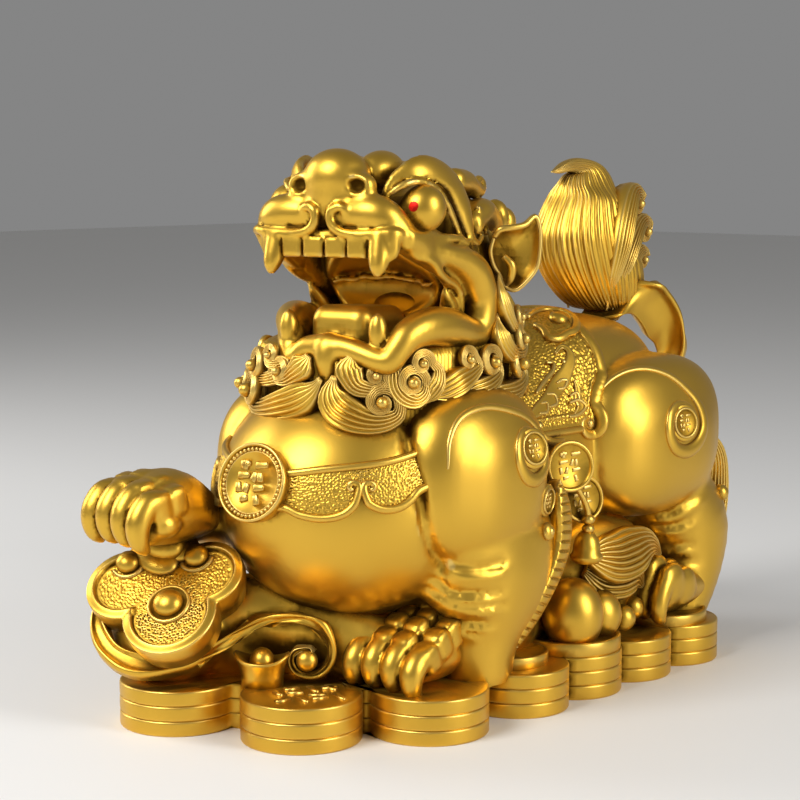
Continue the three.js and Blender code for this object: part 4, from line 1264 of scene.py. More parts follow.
def plateau(batch, clay, stations, tall):
    # a flat-topped strip with rounded shoulders
    path = spline(stations, 60)
    points, normals = settle(clay, path[:, :3])
    section = np.array([(-1, -1), (-1, 0.55), (-0.93, 0.85), (-0.8, 1), (-0.4, 0.93),
                        (0, 0.9), (0.4, 0.93), (0.8, 1), (0.93, 0.85), (1, 0.55), (1, -1)])
    batch.add(*closeRings(carry(points, normals, path[:, 3], tall, section)))


# x, y, z and half width: the wide clouds, and the lines and small curls that edge them
saddlePlates = [
    [(44, 88, 196, 0.8), (42, 95, 198, 1.5), (45, 98, 196, 2.2), (49, 96, 192, 3.2), (51, 90, 186, 4.2),
     (53, 84, 182, 5.2), (54, 76, 177, 5.2), (57, 66, 171, 5.0), (59, 52, 166, 3.5), (60, 44, 163, 1.2)],
    [(55, 92, 180, 1.0), (57, 92, 175, 2.2), (60, 90, 170, 3.4), (62, 90, 165, 3.0), (63, 84, 161, 1.4)]]
saddleLines = [
    [(52, 78, 179, 0.8), (53, 83, 181, 1.1), (54, 86, 180, 1.2), (54, 82, 176, 1.1), (54, 77, 176, 0.8)],
    [(58, 84, 172, 0.7), (58, 90, 173, 1.1), (59, 90, 169, 1.1), (59, 85, 169, 0.7)],
    [(54, 66, 174, 0.7), (55, 72, 173, 1.1), (57, 71, 168, 1.1), (58, 64, 167, 0.7)],
    [(59, 82, 168, 0.8), (60, 90, 169, 1.2), (62, 94, 165, 1.2), (62, 87, 161, 1.2), (61, 78, 160, 0.8)],
    [(57, 58, 170, 0.7), (58, 63, 170, 1.1), (60, 60, 165, 1.1), (60, 53, 165, 0.7)],
    [(44, 79, 191, 0.8), (46, 83, 190, 1.2), (48, 80, 186, 1.4),
     (50, 73, 183, 1.4), (52, 66, 180, 1.2), (54, 58, 176, 0.8)],
    [(62, 46, 160, 1.0), (65, 51, 152, 2.2), (66, 59, 148, 2.4), (66, 68, 148, 1.6)],
    [(23, 94, 211, 1.6), (27, 95, 209, 2.2), (31, 94, 207, 2.4), (35, 92, 204, 2.6),
     (38, 97, 202, 2.8), (38, 105, 204, 2.8), (37, 114, 205, 2.8), (30, 123, 210, 2.8),
     (19, 127, 215, 2.6), (11, 120, 217, 2.4), (11, 109, 217, 2.2), (14, 98, 215, 1.8)]]
saddleCurl = [(64, 107, 158, 4.2), (66, 104, 152, 3.8), (66, 98, 148.5, 3.3), (66, 92, 150, 2.8),
              (65, 90, 154.5, 2.3), (65, 93, 158, 1.8), (65, 97, 157.5, 1.2)]
saddleBosses = [(26, 113, 212, 6.0), (65, 96, 155, 2.6), (47, 91, 190, 1.6)]


makePiece("saddle_cloth", *saddleForms().all())

# Rims on shoulders and haunches, and the small coins they wind round

shoulderSpiral = [(74, -46, 146, 0.5), (73, -43, 160, 1.0), (73, -34, 170, 1.4),
                  (76, -18, 175, 1.6), (81, -1, 174, 1.7), (85, 15, 169, 2.1),
                  (88, 25, 159, 2.8), (89, 25, 148, 3.2), (90, 20, 139, 3.3),
                  (90, 10, 135, 3.2), (90, 1, 138, 3.0), (90, -4, 147, 2.7), (90, -2, 157, 2.3),
                  (89, 5, 163, 2.0), (89, 14, 162, 1.6), (89, 19, 157, 1.2), (89, 19, 150, 0.7)]
hipSpiral = [(60, 106, 160, 0.6), (60, 110, 169, 1.0), (62, 121, 176, 1.3), (66, 138, 179, 1.4),
             (72, 155, 177, 1.5), (78, 168, 170, 1.9), (83, 178, 158, 2.8), (85, 180, 146, 3.3),
             (87, 173, 137, 3.4), (88, 161, 133.5, 3.3), (88, 149.5, 137, 3.1),
             (88, 144, 146.5, 2.8), (88, 146.5, 157, 2.5), (87, 155, 162.5, 2.1),
             (87, 165, 161, 1.7), (87, 171, 155.5, 1.3), (87, 171.5, 149, 0.8)]
# the small coins on shoulder, haunch and leg, and the rim round each
limbCoins = [((88, 8, 152), 9.5), ((87, 158, 151), 9.5), ((90, 30, 120), 7.5)]
rimProfile = [(0.5, -2), (1, -2), (1, 1.2), (0.93, 1.8), (0.5, 1.8)]


def limbRims():
    batch = Batch()
    for s in (1, -1):
        # the far shoulder lies farther forward and lower
        far = np.array([s, 1, 1]), np.array([0, body["farShift"], body["farDrop"]]) * (s < 0)
        near = np.array([s, 1, 1]), np.zeros(3)
        for line, (side, shift) in ((shoulderSpiral, far), (hipSpiral, near)):
            rows = np.array(line)
            rows = np.column_stack([rows[:, :3] * side - shift, rows[:, 3] * 1.35])
            rope(batch, trunkClay, rows, 190, 0.1, 0.5)
        for (centre, radius), (side, shift) in zip(limbCoins, (far, near, far)):
            place, normal = settle(trunkClay, [centre * side - shift], 0.4)
            face = unit(0.75 * normal[0] + 0.25 * np.array([0.6 * s, -0.8, 0.1]))
            smallCoin(batch, place[0] + face * 0.6, face, radius, 1.6)
            batch.add(*disc(place[0] - face * 0.6, face, radius + 1.8, rimProfile, 48))
        # the bud under the lowest coin, and one on the hind leg
        place, normal = settle(trunkClay, [(90, 27, 104) * far[0] - far[1]], 0.5)
        batch.add(*ball(place[0], (5.2, 5.2, 3.2), normal[0], 24, 14))
        batch.add(*ball(place[0] + normal[0] * 2.0, (2.6, 2.6, 1.9), normal[0], 16, 10))
        place, normal = settle(trunkClay, [(s * 76, 222, 100)], 0.5)
        batch.add(*ball(place[0], (5.4, 5.4, 5), normal[0], 22, 12))
    return batch


makePiece("limb_rims", *limbRims().all())

# The sceptre under the raised paw: a cloud-shaped plate, bosses, and a stem that winds up

cloud = {"centre": (-60, -136, 66.9), "normal": (0.301, -0.622, 0.723), "boss": (16, -7), "turn": 21.0,
         "top": 14.0, "rim": 5.5, "around": 300, "steps": 104, "rimSteps": 44,
         "pitch": 1.6, "bevel": 1.3, "drop": 2.6, "pitDeep": 0.75,
         "lobes": [(0, -6, 26), (-23, 20, 22), (22, 14, 21), (0, 34, 20), (0, 14, 16)]}


def cloudFrame():
    # the point under the boss, the plate's two own directions, and its normal
    front = unit(cloud["normal"])
    across = unit(np.cross((0, 0, 1), front))
    rise = np.cross(front, across)
    cosine, sine = math.cos(math.radians(cloud["turn"])), math.sin(math.radians(cloud["turn"]))
    u, v = across * cosine + rise * sine, rise * cosine - across * sine
    origin = np.array(cloud["centre"]) + across * cloud["boss"][0] + rise * cloud["boss"][1]
    return origin, u, v, front


def cloudEdge(x, y):
    # the distance outside the lobes, negative inside
    gap = 1e9
    for cx, cy, r in cloud["lobes"]:
        gap = softMin(gap, np.hypot(x - cx, y - cy) - r, 2.0)
    return gap


def cloudPlate(batch):
    # a polar grid about the origin, inside the lobes: the edge along each ray is found by halving
    origin, u, v, front = cloudFrame()
    turns = 2 * np.pi * np.arange(cloud["around"]) / cloud["around"]
    near, far = np.zeros(len(turns)), np.full(len(turns), 70.0)
    for _ in range(24):
        half = (near + far) / 2
        inside = cloudEdge(half * np.cos(turns), half * np.sin(turns)) < 0
        near, far = np.where(inside, half, near), np.where(inside, far, half)
    # three rings make the wall, then come close ones over the rim and wider ones over the ground
    rimSteps = cloud["rimSteps"]
    share = np.concatenate([[0.93, 1.0, 1.0], np.linspace(1, 0.62, rimSteps)[1:],
                            np.linspace(0.62, 0.02, cloud["steps"] - rimSteps)[1:]])
    x = share[:, None] * near * np.cos(turns)
    y = share[:, None] * near * np.sin(turns)
    deep = -cloudEdge(x, y)
    rim = cloud["rim"]
    # the rim climbs in a broad bevel from the wall to a rounded crest, then drops to the pitted ground
    bevel = cloud["bevel"] * smooth(0, rim * 0.8, deep) - cloud["drop"] * smooth(rim * 0.8, rim + 0.4, deep)
    ground = -cloud["pitDeep"] * pits(x, y, cloud["pitch"], 9) * smooth(rim + 1.2, rim + 2.4, deep)
    height = cloud["top"] + bevel + ground
    height[0] = -4
    height[1] = cloud["top"] * 0.5
    height[2] = cloud["top"] - 1.2
    batch.add(*closeRings(origin + x[..., None] * u + y[..., None] * v + height[..., None] * front))
    boss = lambda p, q, h: origin + p * u + q * v + (cloud["top"] + h) * front
    batch.add(*ball(boss(0, 0, 0), (8.3, 8.3, 6.0), front, 32, 16))
    ringProfile = [(0.5, -3), (1.0, -3), (1.0, -0.6), (0.97, 0.2),
                   (0.9, 0.4), (0.83, 0.1), (0.8, -0.8), (0.5, -0.9)]
    batch.add(*disc(boss(0, 0, 0), front, 12.2, ringProfile, 64))
    for p, q in ((-20, 34), (18, 27)):
        batch.add(*ball(boss(p, q, 0), (7, 7, 5.5), front, 26, 14))
        turn = np.radians(np.linspace(195, 345, 12))
        arc = np.array([boss(p + 9 * math.cos(t), q + 9 * math.sin(t), -1.0) for t in turn])
        batch.add(*closeRings(carry(arc, np.tile(front, (12, 1)), 1.3, 1.3, roundSection(8))))
    # folds of cloth that spread from under the paw
    for place, radii in (((0, 42, 3), (17, 12, 9)), ((-4, 33, 0), (15, 10, 4.5)), ((8, 35, 0), (10, 8, 4.5))):
        batch.add(*ball(boss(*place), radii, front, 32, 16))


# the lower and upper edge of the stem, from under the plate to its curl
stemLower = [(-88, -150, 69), (-85, -158, 57), (-75, -164, 47), (-63, -164, 39),
             (-53, -161, 35), (-43, -153, 34), (-35, -139, 35), (-28, -127, 39),
             (-24, -115, 43), (-18, -104, 51), (-11, -97, 56), (-4, -92, 58), (5, -87, 58),
             (13, -82, 55), (17, -78, 49), (18, -77, 42), (17, -78, 36), (13, -82, 31),
             (9, -85, 30), (5, -88, 33), (3, -89, 38), (6, -87, 42), (10, -84, 42)]
stemUpper = [(-83, -148, 71), (-79, -154, 62), (-71, -156, 53), (-61, -155, 46),
             (-49, -148, 43), (-39, -136, 41), (-33, -126, 43), (-25, -114, 50),
             (-17, -103, 58), (-10, -94, 62), (-1, -88, 63), (8, -82, 62), (16, -78, 59),
             (20, -75, 50), (21, -74, 41), (19, -76, 33), (14, -80, 27.5), (8, -85, 27),
             (2, -90, 31), (0, -91, 38), (3, -89, 44), (10, -84, 45), (12, -83, 42)]


def sceptreForms():
    batch = Batch()
    cloudPlate(batch)

    # a ridge runs along each edge of the stem
    def ridges(run, t):
        return 2.0 * sum(np.exp(-((t - middle) / 0.11) ** 2) for middle in (0.12, 0.88)) - 0.6

    front = np.array((0.5, -0.7, 0.4))
    lower, upper = (np.array(line) + front * 2.6 for line in (stemLower, stemUpper))
    band(batch, lower, upper, front, ridges, 240, 16, 6.0)
    batch.add(*ball((10.4, -87, 38.6), (6, 6, 5), (0.6, -0.7, 0.3), 24, 14))
    return batch


makePiece("sceptre", *sceptreForms().all())


def bedClay():
    # what the sceptre, the chest and the treasures rest on
    clay = Clay((-102, -176, 18), (96, 215, 104), 2.9)
    clay.add(egg((-62, -123, 46), (32, 32, 24)))
    clay.add(tube([[-66, -108, 43, 20, 24], [-24, -74, 42, 12, 22],
                   [12, -58, 40, 12, 22], [36, -48, 37, 12, 20]], 24, face=(0, 0, 1)), 8)
    clay.add(tube([[-50, -104, 54, 9, 22], [-30, -90, 55, 8, 22], [2, -71, 50, 8, 18],
                   [22, -57, 44, 8, 18]], 16, face=(0, 0, 1)), 5)
    clay.add(egg((-33, -89, 60), (24, 12, 21), yaw=35), 6)
    for s in (1, -1):
        clay.add(egg((s * 52, 118, 62), (22, 46, 36)), 6)
    clay.add(egg((0, 20, 40), (66, 84, 30)), 10)
    clay.add(egg((0, 110, 46), (62, 90, 34)), 10)
    return clay


makePiece("bed", *bedClay().skin())

# rings of the boat: half width, half depth, height and how far its ends rise
ingot = {"centre": (-8, -103, 25), "around": 56, "rings": [
    (11.5, 9, -1, 0), (11.5, 9, 5, 0), (12.5, 9.5, 9, 1), (14.5, 10.5, 12, 3),
    (15.6, 11, 13.2, 4.6), (14.8, 10.3, 14.2, 4.6), (12, 8.4, 13, 3), (8, 5.5, 11.5, 1)]}


def ingotForms():
    # a boat: rings whose ends rise as they widen, and a dome between them
    batch = Batch()
    centre = np.array(ingot["centre"], float)
    turn = 2 * np.pi * np.arange(ingot["around"]) / ingot["around"]
    longways, crossways = unit((0.80, 0.6, 0)), unit((-0.6, 0.80, 0))
    rings = []
    for wide, deep, low, rise in ingot["rings"]:
        ends = np.abs(np.cos(turn)) ** 3 * rise
        ring = centre + np.outer(wide * np.cos(turn), longways)
        ring = ring + np.outer(deep * np.sin(turn), crossways)
        rings.append(ring + np.outer(low + ends, (0, 0, 1)))
    batch.add(*closeRings(np.stack(rings)))
    batch.add(*ball(centre + (0, 0, 13.6), (7.6, 6.8, 7.2), (0, 0, 1), 26, 14))
    return batch


makePiece("ingot", *ingotForms().all())

# Treasures at the flanks: coins on a cord, beads, a bell, fruits, pearls and locks of hair

# fruits and pearls: place, radii and how finely each is made; hair: x, y, z and half width, and its strands
treasures = {
    "coins": [((76, 60, 135), (0.9, -0.45, 0.1), 15), ((74, 75, 114), (0.9, -0.3, 0.1), 14)],
    "cord": [(77, 64, 124), (79, 69, 116), (80, 72, 109), (80, 73, 104)], "cordRadius": 1.8,
    "beads": [(103, 4), (97.5, 3.6)],
    "bell": [(0.15, 0), (0.75, 0.5), (1.0, 3.5), (1.0, 5.0), (0.86, 6.5),
             (0.83, 10), (0.72, 14.5), (0.45, 18), (0.2, 19.5)],
    "fruits": [((72, 70, 46), (18, 18, 22), (0, 0, 1), 48, 28),
               ((74, 92, 43), (14, 14, 15.5), (0, 0, 1), 40, 24),
               ((78, 111, 38), (8, 8, 8), (1, 0, 0), 28, 16), ((72, 130, 40), (7, 7, 7), (1, 0, 0), 28, 16)],
    "hair": [([(76, 80, 80, 5), (77, 90, 78, 12), (78, 103, 76, 16), (78, 118, 77, 16),
               (78, 132, 79, 11.5), (76, 145, 76, 6), (74, 156, 69, 1)], 9),
             ([(70, 84, 70, 4), (73, 96, 62, 10), (74, 112, 60, 12), (74, 128, 60, 9), (72, 140, 52, 2)], 7),
             ([(62, 216, 140, 2), (64, 230, 124, 7), (62, 236, 104, 9),
               (62, 233, 80, 9), (62, 225, 50, 7), (62, 219, 30, 2)], 7)],
    "hairSteps": 44}


def treasureForms(s):
    # the left side's for s = 1, the right side's for s = -1
    batch = Batch()
    side = np.array([s, 1, 1])
    for place, normal, radius in treasures["coins"]:
        smallCoin(batch, place * side, normal * side, radius, 2.2)
    cord = spline(np.array(treasures["cord"]) * side, 16)
    wide = treasures["cordRadius"]
    batch.add(*closeRings(carry(cord, np.tile((s, 0, 0), (16, 1)), wide, wide, roundSection(10))))
    for z, r in treasures["beads"]:
        batch.add(*ball((s * 80, 73, z), (r, r, r * 0.8), (0, 0, 1), 20, 12))
    batch.add(*disc((s * 79, 73, 77), (0, 0.02, 1), 9.5, treasures["bell"], 48))
    for place, radii, normal, around, rings in treasures["fruits"]:
        batch.add(*ball(place * side, radii, normal * side, around, rings))
    # a broad lock of hair that waves over them, and the tuft behind the hind leg
    steps = treasures["hairSteps"]
    for route, strands in treasures["hair"]:
        path = spline(np.array(route) * (s, 1, 1, 1), steps)
        normals = np.tile(unit((s, -0.25, 0.2)), (steps, 1))
        section = strandSection(strands, 0.5, 0.8, 5)
        batch.add(*closeRings(carry(path[:, :3], normals, path[:, 3], path[:, 3] * 0.5, section)))
    return batch


makePiece("left_treasures", *treasureForms(1).all())
makePiece("right_treasures", *treasureForms(-1).all())

# Fringes up the back of the forelegs: their rear and front edge, and how many notches they have

fringe = {
    "cuts": 19, "slant": 0.55, "thick": 6.0, "belly": 0.6,
    "outer": [(84, 40, 131), (84, 50, 116), (84, 52, 100),
              (84, 49, 86), (83, 40, 70), (81, 25, 52), (78, 12, 40)],
    "inner": [(84, 38, 130), (88, 36, 114), (88, 36, 98),
              (88, 31, 84), (87, 20, 67), (83, 9, 50), (79, 6, 40)]}


def fringeRelief(run, t):
    # a round top, notched where the phase is near its half
    phase = (run * fringe["cuts"] - fringe["slant"] * t) % 1.0
    cut = np.exp(-((phase - 0.5) / 0.10) ** 2) * smooth(0.02, 0.2, t) * smooth(0.95, 0.75, t)
    return 1.2 * np.sin(np.pi * t) ** 0.5 - 1.9 * cut


def fringeForms():
    # flame-like hair up the back of each foreleg; on the raised one only its upper stations
    batch = Batch()
    for s, shift, last in ((1, 0, 7), (-1, body["farShift"], 3)):
        outer, inner = (np.array(fringe[name][:last]) * (s, 1, 1) - (0, shift, 0)
                        for name in ("outer", "inner"))
        band(batch, inner, outer, (s, 0.2, 0), fringeRelief, 200, 14, fringe["thick"], fringe["belly"])
    return batch


makePiece("leg_fringes", *fringeForms().all())

# The coin base: stacks round the edge, their coins parted by grooves

# the chain of stacks: x, y and radius; a coin's edge: height over its underside and how far it is drawn in
coins = {"thick": 8.3, "high": 3, "groove": 1.0, "firstGroove": 0.5, "lastGroove": 1.2,
         "edge": [(0.3, 0.35), (0.7, 0.05), (1.3, 0.0), (4.2, 0.0), (6.9, 0.0), (7.5, 0.05), (8.0, 0.35)],
         "chain": [(18, -99, 33), (59, -42, 33), (64, 28, 30), (64, 79, 30), (64, 130, 30), (64, 181, 30),
                   (24, 197, 30), (-24, 197, 30), (-64, 181, 30), (-64, 130, 30), (-64, 79, 30),
                   (-64, 28, 30), (-62, -24, 30), (-64, -76, 30), (-55, -121, 33)]}


def chainOutline(chain, inset, perDisc=26):
    # each disc shows the arc that faces away from its neighbours
    parts = []
    for index, (x, y, full) in enumerate(chain):
        radius = full - inset
        ends = []
        for sign, (px, py, _) in ((1, chain[index - 1]), (-1, chain[(index + 1) % len(chain)])):
            apart = math.hypot(px - x, py - y) / 2 / radius
            ends.append(math.atan2(py - y, px - x) + sign * math.acos(min(1, apart)))
        start, end = ends
        while end < start:
            end += 2 * math.pi
        turn = np.linspace(start + 0.01, end - 0.01, perDisc)
        parts.append(np.column_stack([x + radius * np.cos(turn), y + radius * np.sin(turn)]))
    return np.vstack(parts)


def coinBase():
    # the outline is drawn in at each groove; a coin's edge is upright with small rounds
    levels = []
    for level in range(coins["high"]):
        low = level * coins["thick"]
        levels.append((low, coins["groove"] if level else coins["firstGroove"]))
        levels += [(low + rise, inset) for rise, inset in coins["edge"]]
        levels.append((low + coins["thick"], coins["groove"]))
    levels[-1] = (levels[-1][0], coins["lastGroove"])
    rings = []
    for z, inset in levels:
        outline = chainOutline(coins["chain"], inset)
        rings.append(np.column_stack([outline, np.full(len(outline), z)]))
    rings = np.stack(rings)
    # the top and the underside are drawn in to a point by way of rings that shrink towards a line inside
    spine = np.column_stack([np.clip(rings[-1][:, 0], -22, 22) * 0.9, np.clip(rings[-1][:, 1], -70, 150)])
    caps = []
    for share in (0.25, 0.5, 0.75, 0.97):
        flat = rings[-1][:, :2] * (1 - share) + spine * share
        caps.append(np.column_stack([flat, np.full(len(flat), rings[-1][0, 2])]))
    caps = np.stack(caps)
    under = caps[::-1].copy()
    under[:, :, 2] = rings[0][0, 2]
    return closeRings(np.concatenate([under, rings, caps]))


def coinRings(x, y, low, radius, thick):
    # a single coin: a flat disc with a raised rim, from the middle of its back to the middle of its front
    profile = [(0.6, low), (radius - 0.6, low), (radius, low + 0.8), (radius, low + thick - 0.8),
               (radius - 0.5, low + thick), (radius - 2.6, low + thick), (radius - 3.1, low + thick - 0.8),
               (0.6, low + thick - 0.8)]
    turn = 2 * np.pi * np.arange(72) / 72
    rings = [np.column_stack([x + reach * np.cos(turn), y + reach * np.sin(turn), np.full(72, z)])
             for reach, z in profile]
    return np.stack(rings)


base = Batch()
base.add(*coinBase())
baseTop = coins["thick"] * coins["high"]
for s in (1, -1):
    for x, y, radius, thick in ((59, 28, 22, 7), (63, 79, 30, 8.3), (62, 175, 28, 7)):
        base.add(*closeRings(coinRings(s * x, y, baseTop - 0.4, radius, thick)))
# rows of strokes on the front coin's face
strokes(base, (24, -101, baseTop), (0, 0, 1), 20, strokeRows, 1.3, (0.6, 1, 0), 0.09)
makePiece("coins", *base.all())


# The tail's stem: a broad petal that bends down behind the haunch, with a rim along its outer edge

stemOuter = [(-8, 200, 232), (10, 200, 233), (30, 213, 230), (31, 224, 224), (32, 235, 212),
             (33, 239, 199), (33, 240, 187), (31, 237, 176), (26, 223, 156)]
stemInner = [(-6, 172, 206), (6, 176, 208), (20, 186, 211), (20, 200, 210), (20, 211, 202),
             (19, 219, 194), (18, 228, 188), (16, 230, 176), (10, 206, 150)]
stem = Batch()
hollow = lambda run, t: 2.0 * np.exp(-((t - 0.92) / 0.07) ** 2) - 3.0 * np.sin(np.pi * t)
band(stem, stemInner, stemOuter, (1, 0.2, 0.4), hollow, 90, 24, 7.0)
makePiece("tail_stem", *stem.all())

# How much of each corner is shut in, kept as a value of 0 to 1 on every piece; it darkens the brass as
# painted shade

def blurred(grid, rounds):
    for _ in range(rounds):
        for axis in range(3):
            grid = (np.roll(grid, 1, axis) + 2 * grid + np.roll(grid, -1, axis)) / 4
    return grid


def meshArrays(piece):
    mesh = piece.data
    places = np.zeros(len(mesh.vertices) * 3, np.float32)
    normals = np.zeros(len(mesh.vertices) * 3, np.float32)
    mesh.vertices.foreach_get("co", places)
    mesh.vertices.foreach_get("normal", normals)
    return places.reshape(-1, 3) * 1000, normals.reshape(-1, 3)


# nearLooks: how far ahead the near field is looked at, and how much that counts; wideLook likewise
shadeAndWear = {"cell": 3.0, "border": 24, "closeBlur": 1, "wideBlur": 5, "nearLooks": [(5.5, 0.5), (8.5, 0.4)],
        "wideLook": (12.0, 1.1), "hollow": 1.6, "ridge": 1.2,
        "gain": 1.25, "free": 0.12, "shutShare": 0.75, "hollowShare": 0.9}


def markPaintedShade():
    # the skins' corners fill a grid; each corner then looks along its normal: the more metal is
    # near the point ahead of it, the more it is shut in. Its bend, the mean over its edges of how
    # fast the normal turns, tells edges from hollows
    data = {name: meshArrays(piece) for name, piece in pieces.items()}
    low = np.array(cadBounds[0]) * 1000 - shadeAndWear["border"]
    high = np.array(cadBounds[1]) * 1000 + shadeAndWear["border"]
    count = np.ceil((high - low) / shadeAndWear["cell"]).astype(int)
    grid = np.zeros(count, np.float32)
    for places, normals in data.values():
        cells = np.clip(((places - low) / shadeAndWear["cell"]).astype(int), 0, count - 1)
        grid[tuple(cells.T)] = 1
    near, wide = blurred(grid, shadeAndWear["closeBlur"]), blurred(grid, shadeAndWear["wideBlur"])
    for name, piece in pieces.items():
        places, normals = data[name]
        shut = 0
        looks = [(near, *look) for look in shadeAndWear["nearLooks"]] + [(wide, *shadeAndWear["wideLook"])]
        for field, reach, weight in looks:
            spots = np.clip(((places + normals * reach - low) / shadeAndWear["cell"]).astype(int), 0, count - 1)
            shut = shut + weight * field[tuple(spots.T)]
        mesh = piece.data
        edges = np.zeros(len(mesh.edges) * 2, np.int32)
        mesh.edges.foreach_get("vertices", edges)
        starts, ends = edges.reshape(-1, 2).T
        along = places[ends] - places[starts]
        length = np.linalg.norm(along, axis=1) + 1e-6
        bend = ((normals[ends] - normals[starts]) * along).sum(1) / length ** 2
        total = np.bincount(starts, bend, len(places)) + np.bincount(ends, bend, len(places))
        degree = np.bincount(starts, minlength=len(places)) + np.bincount(ends, minlength=len(places))
        curve = total / np.maximum(degree, 1)
        for _ in range(2):
            spread = np.bincount(starts, curve[ends], len(places))
            spread = spread + np.bincount(ends, curve[starts], len(places))
            curve = 0.4 * curve + 0.6 * spread / np.maximum(degree, 1)
        hollow = np.clip(-curve * shadeAndWear["hollow"], 0, 1)
        ridge = np.clip(curve * shadeAndWear["ridge"], 0, 1)
        shut = np.clip(shut * shadeAndWear["gain"] - shadeAndWear["free"], 0, 1)
        # painted shade: this value darkens the brass where a corner is shut in by nearby metal and where it
        # is hollow
        value = np.clip(shadeAndWear["shutShare"] * shut + shadeAndWear["hollowShare"] * hollow, 0, 1)
        for label, numbers in (("paintedShade", value), ("edge", ridge)):
            layer = mesh.attributes.new(label, "FLOAT", "POINT")
            layer.data.foreach_set("value", numbers.astype(np.float32))


markPaintedShade()
layer = pieces["eyeballs"].data.attributes.new("paint", "FLOAT", "POINT")
layer.data.foreach_set("value", paint.astype(np.float32))
print("recesses marked")

# Material sockets with the arithmetic of numbers

class Value:
    def __init__(self, tree, socket):
        self.tree = tree
        self.socket = socket

    def node(self, kind, output=0, **inputs):
        # a node of a kind; numbered inputs are given as i0, i1 and so on
        made = self.tree.nodes.new(kind)
        for key, value in inputs.items():
            if key[0] == "i" and key[1:].isdigit():
                self.feed(made.inputs[int(key[1:])], value)
            else:
                setattr(made, key, value)
        return Value(self.tree, made.outputs[output])

    def feed(self, socket, value):
        if isinstance(value, Value):
            self.tree.links.new(value.socket, socket)
        else:
            socket.default_value = value

    # swap puts this value second
    def math(self, operation, other, swap=False):
        first, second = (other, self) if swap else (self, other)
        return self.node("ShaderNodeMath", operation=operation, i0=first, i1=second)

    def __add__(self, other):
        return self.math("ADD", other)

    def __radd__(self, other):
        return self.math("ADD", other, True)

    def __sub__(self, other):
        return self.math("SUBTRACT", other)

    def __rsub__(self, other):
        return self.math("SUBTRACT", other, True)

    def __mul__(self, other):
        return self.math("MULTIPLY", other)

    def __rmul__(self, other):
        return self.math("MULTIPLY", other, True)

    def ramp(self, low, high):
        # 0 below low, 1 above high, an S curve between
        return self.node("ShaderNodeMapRange", interpolation_type="SMOOTHSTEP", i0=self, i1=low, i2=high,
                         i3=0.0, i4=1.0)

    def mix(self, first, second):
        # a colour from first to second as this value goes from 0 to 1
        return self.node("ShaderNodeMix", 2, data_type="RGBA", i0=self, i6=first, i7=second)


# The brass: warm and satin, with painted shade that darkens it, and a duller finish, where its corners are
# shut in and hollow

# deep and dark are the colours of painted shade, for corners that are shut in
brassLook = {
    "bright": (0.74, 0.446, 0.056, 1), "deep": (0.52, 0.30, 0.032, 1), "dark": (0.12, 0.058, 0.006, 1),
    "polished": (0.90, 0.66, 0.22, 1), "roughness": 0.37, "dullness": 0.30, "paint": (0.62, 0.02, 0.012, 1),
    "patches": 38.0, "grain": 420.0, "patchShare": 0.22, "grainShare": 0.12, "roughShare": 0.10,
    "bump": 0.06, "bumpHeight": 0.0004, "deepFrom": (0.10, 0.42), "darkFrom": (0.38, 0.85),
    "edgeFrom": (0.15, 0.6), "polish": 0.6, "paintFrom": (0.3, 0.7), "dullFrom": (0.15, 0.8)}


def makeBrass():
    material = bpy.data.materials.new("satin brass")
    material.use_nodes = True
    tree = material.node_tree
    shader = tree.nodes["Principled BSDF"]
    start = Value(tree, None)
    paintedShade = start.node("ShaderNodeAttribute", 2, attribute_name="paintedShade")
    edge = start.node("ShaderNodeAttribute", 2, attribute_name="edge")
    paintMark = start.node("ShaderNodeAttribute", 2, attribute_name="paint")
    place = start.node("ShaderNodeTexCoord", 3)
    patches = start.node("ShaderNodeTexNoise", 0, i0=place, i2=brassLook["patches"], i3=3.0)
    fine = start.node("ShaderNodeTexNoise", 0, i0=place, i2=brassLook["grain"], i3=2.0)
    shut = paintedShade + (patches - 0.5) * brassLook["patchShare"] + (fine - 0.5) * brassLook["grainShare"]
    # painted shade: the colour darkens through deep to dark as the corner is more shut in
    colour = shut.ramp(*brassLook["deepFrom"]).mix(brassLook["bright"], brassLook["deep"])
    colour = shut.ramp(*brassLook["darkFrom"]).mix(colour, brassLook["dark"])
    colour = (edge.ramp(*brassLook["edgeFrom"]) * brassLook["polish"]).mix(colour, brassLook["polished"])
    colour = paintMark.ramp(*brassLook["paintFrom"]).mix(colour, brassLook["paint"])
    start.feed(shader.inputs["Base Color"], colour)
    rough = brassLook["roughness"] + shut.ramp(*brassLook["dullFrom"]) * brassLook["dullness"]
    start.feed(shader.inputs["Roughness"], rough + (patches - 0.5) * brassLook["roughShare"])
    shader.inputs["Metallic"].default_value = 1.0
    grain = start.node("ShaderNodeBump", 0, i0=brassLook["bump"], i1=brassLook["bumpHeight"], i3=fine)
    start.feed(shader.inputs["Normal"], grain)
    return material


brass = makeBrass()
for name, piece in pieces.items():
    piece.data.materials.append(brass)
    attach(piece, "root")

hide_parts("pixiu")

# Floor, light and camera

# lights: name, place, width and height, and power
studio = {"floorSize": 12.0, "floorColour": (0.80, 0.79, 0.77, 1), "floorRoughness": 0.6,
          "skyColour": (0.9, 0.9, 0.9, 1), "skyStrength": 0.26, "target": (0, 0, 0.15), "lights": [
              ("key softbox", (-0.2, -1.5, 1.5), (0.9, 0.9), 31),
              ("side softbox", (1.8, 0.3, 0.9), (0.7, 1.2), 22),
              ("left softbox", (-1.5, -0.6, 0.8), (0.6, 1.0), 12)]}


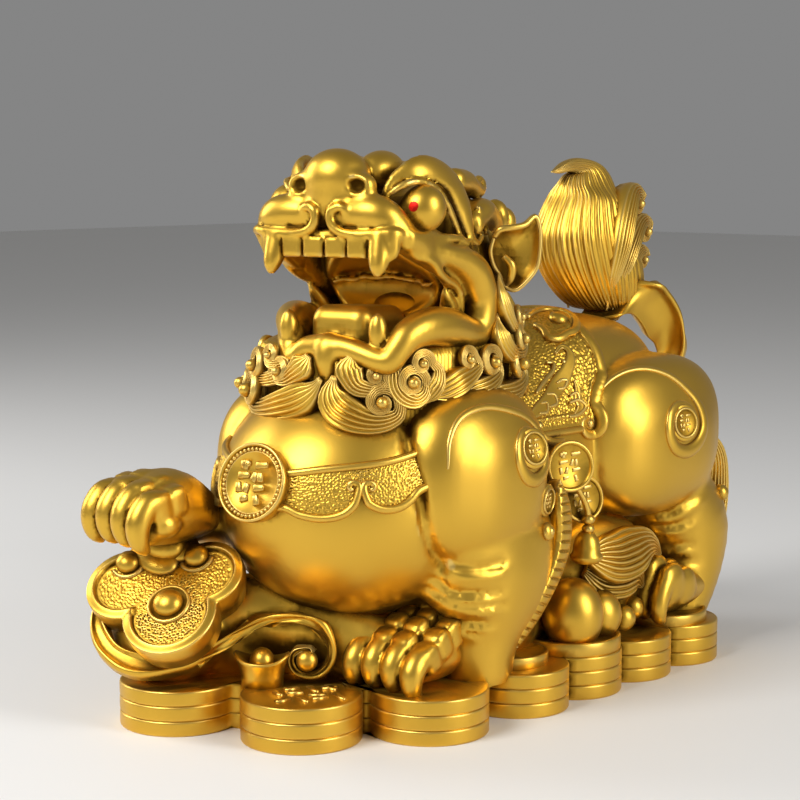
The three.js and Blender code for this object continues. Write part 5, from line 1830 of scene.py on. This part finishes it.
def makeFloor():
    half = studio["floorSize"] / 2
    mesh = bpy.data.meshes.new("floor")
    corners = [(-half, -half, 0), (half, -half, 0), (half, half, 0), (-half, half, 0)]
    mesh.from_pydata(corners, [], [(0, 1, 2, 3)])
    floor = bpy.data.objects.new("floor", mesh)
    bpy.context.scene.collection.objects.link(floor)
    material = bpy.data.materials.new("pale floor")
    material.use_nodes = True
    shader = material.node_tree.nodes["Principled BSDF"]
    shader.inputs["Base Color"].default_value = studio["floorColour"]
    shader.inputs["Roughness"].default_value = studio["floorRoughness"]
    floor.data.materials.append(material)


def areaLight(name, place, size, power):
    # a soft rectangular light that shines from place on the figure
    data = bpy.data.lights.new(name, "AREA")
    data.shape = "RECTANGLE"
    data.size, data.size_y = size
    data.energy = power
    light = bpy.data.objects.new(name, data)
    bpy.context.scene.collection.objects.link(light)
    aim(light, place, studio["target"])


def aim(thing, place, target):
    # the thing's -Z points at the target and its Y stays as upright as it can
    back = unit(np.array(place) - np.array(target))
    right = unit(np.cross((0, 0, 1), back))
    top = np.cross(back, right)
    matrix = np.eye(4)
    matrix[:3, 0], matrix[:3, 1], matrix[:3, 2], matrix[:3, 3] = right, top, back, place
    thing.matrix_world = [tuple(row) for row in matrix.T]


makeFloor()
for light in studio["lights"]:
    areaLight(*light)
world = bpy.data.worlds.new("studio")
bpy.context.scene.world = world
world.use_nodes = True
sky = world.node_tree.nodes["Background"]
sky.inputs["Color"].default_value = studio["skyColour"]
sky.inputs["Strength"].default_value = studio["skyStrength"]

bpy.context.scene.view_settings.view_transform = "Standard"

# the photo's viewing angle: focal is its focal length in pixels of a frame 800 wide
camera = {"place": (0.739, -0.8207, 0.3098), "azimuth": 42.0, "pitch": -7.1, "focal": 1950.0, "frame": 800.0,
          "sensor": 36.0}


def makeCamera():
    azimuth = math.radians(camera["azimuth"])
    pitch = math.radians(camera["pitch"])
    look = np.array([-math.sin(azimuth) * math.cos(pitch), math.cos(azimuth) * math.cos(pitch),
                     math.sin(pitch)])
    data = bpy.data.cameras.new("camera")
    data.sensor_width = camera["sensor"]
    data.lens = camera["sensor"] * camera["focal"] / camera["frame"]
    data.clip_start, data.clip_end = 0.01, 50
    thing = bpy.data.objects.new("camera", data)
    bpy.context.scene.collection.objects.link(thing)
    aim(thing, camera["place"], np.array(camera["place"]) + look)
    bpy.context.scene.camera = thing


makeCamera()
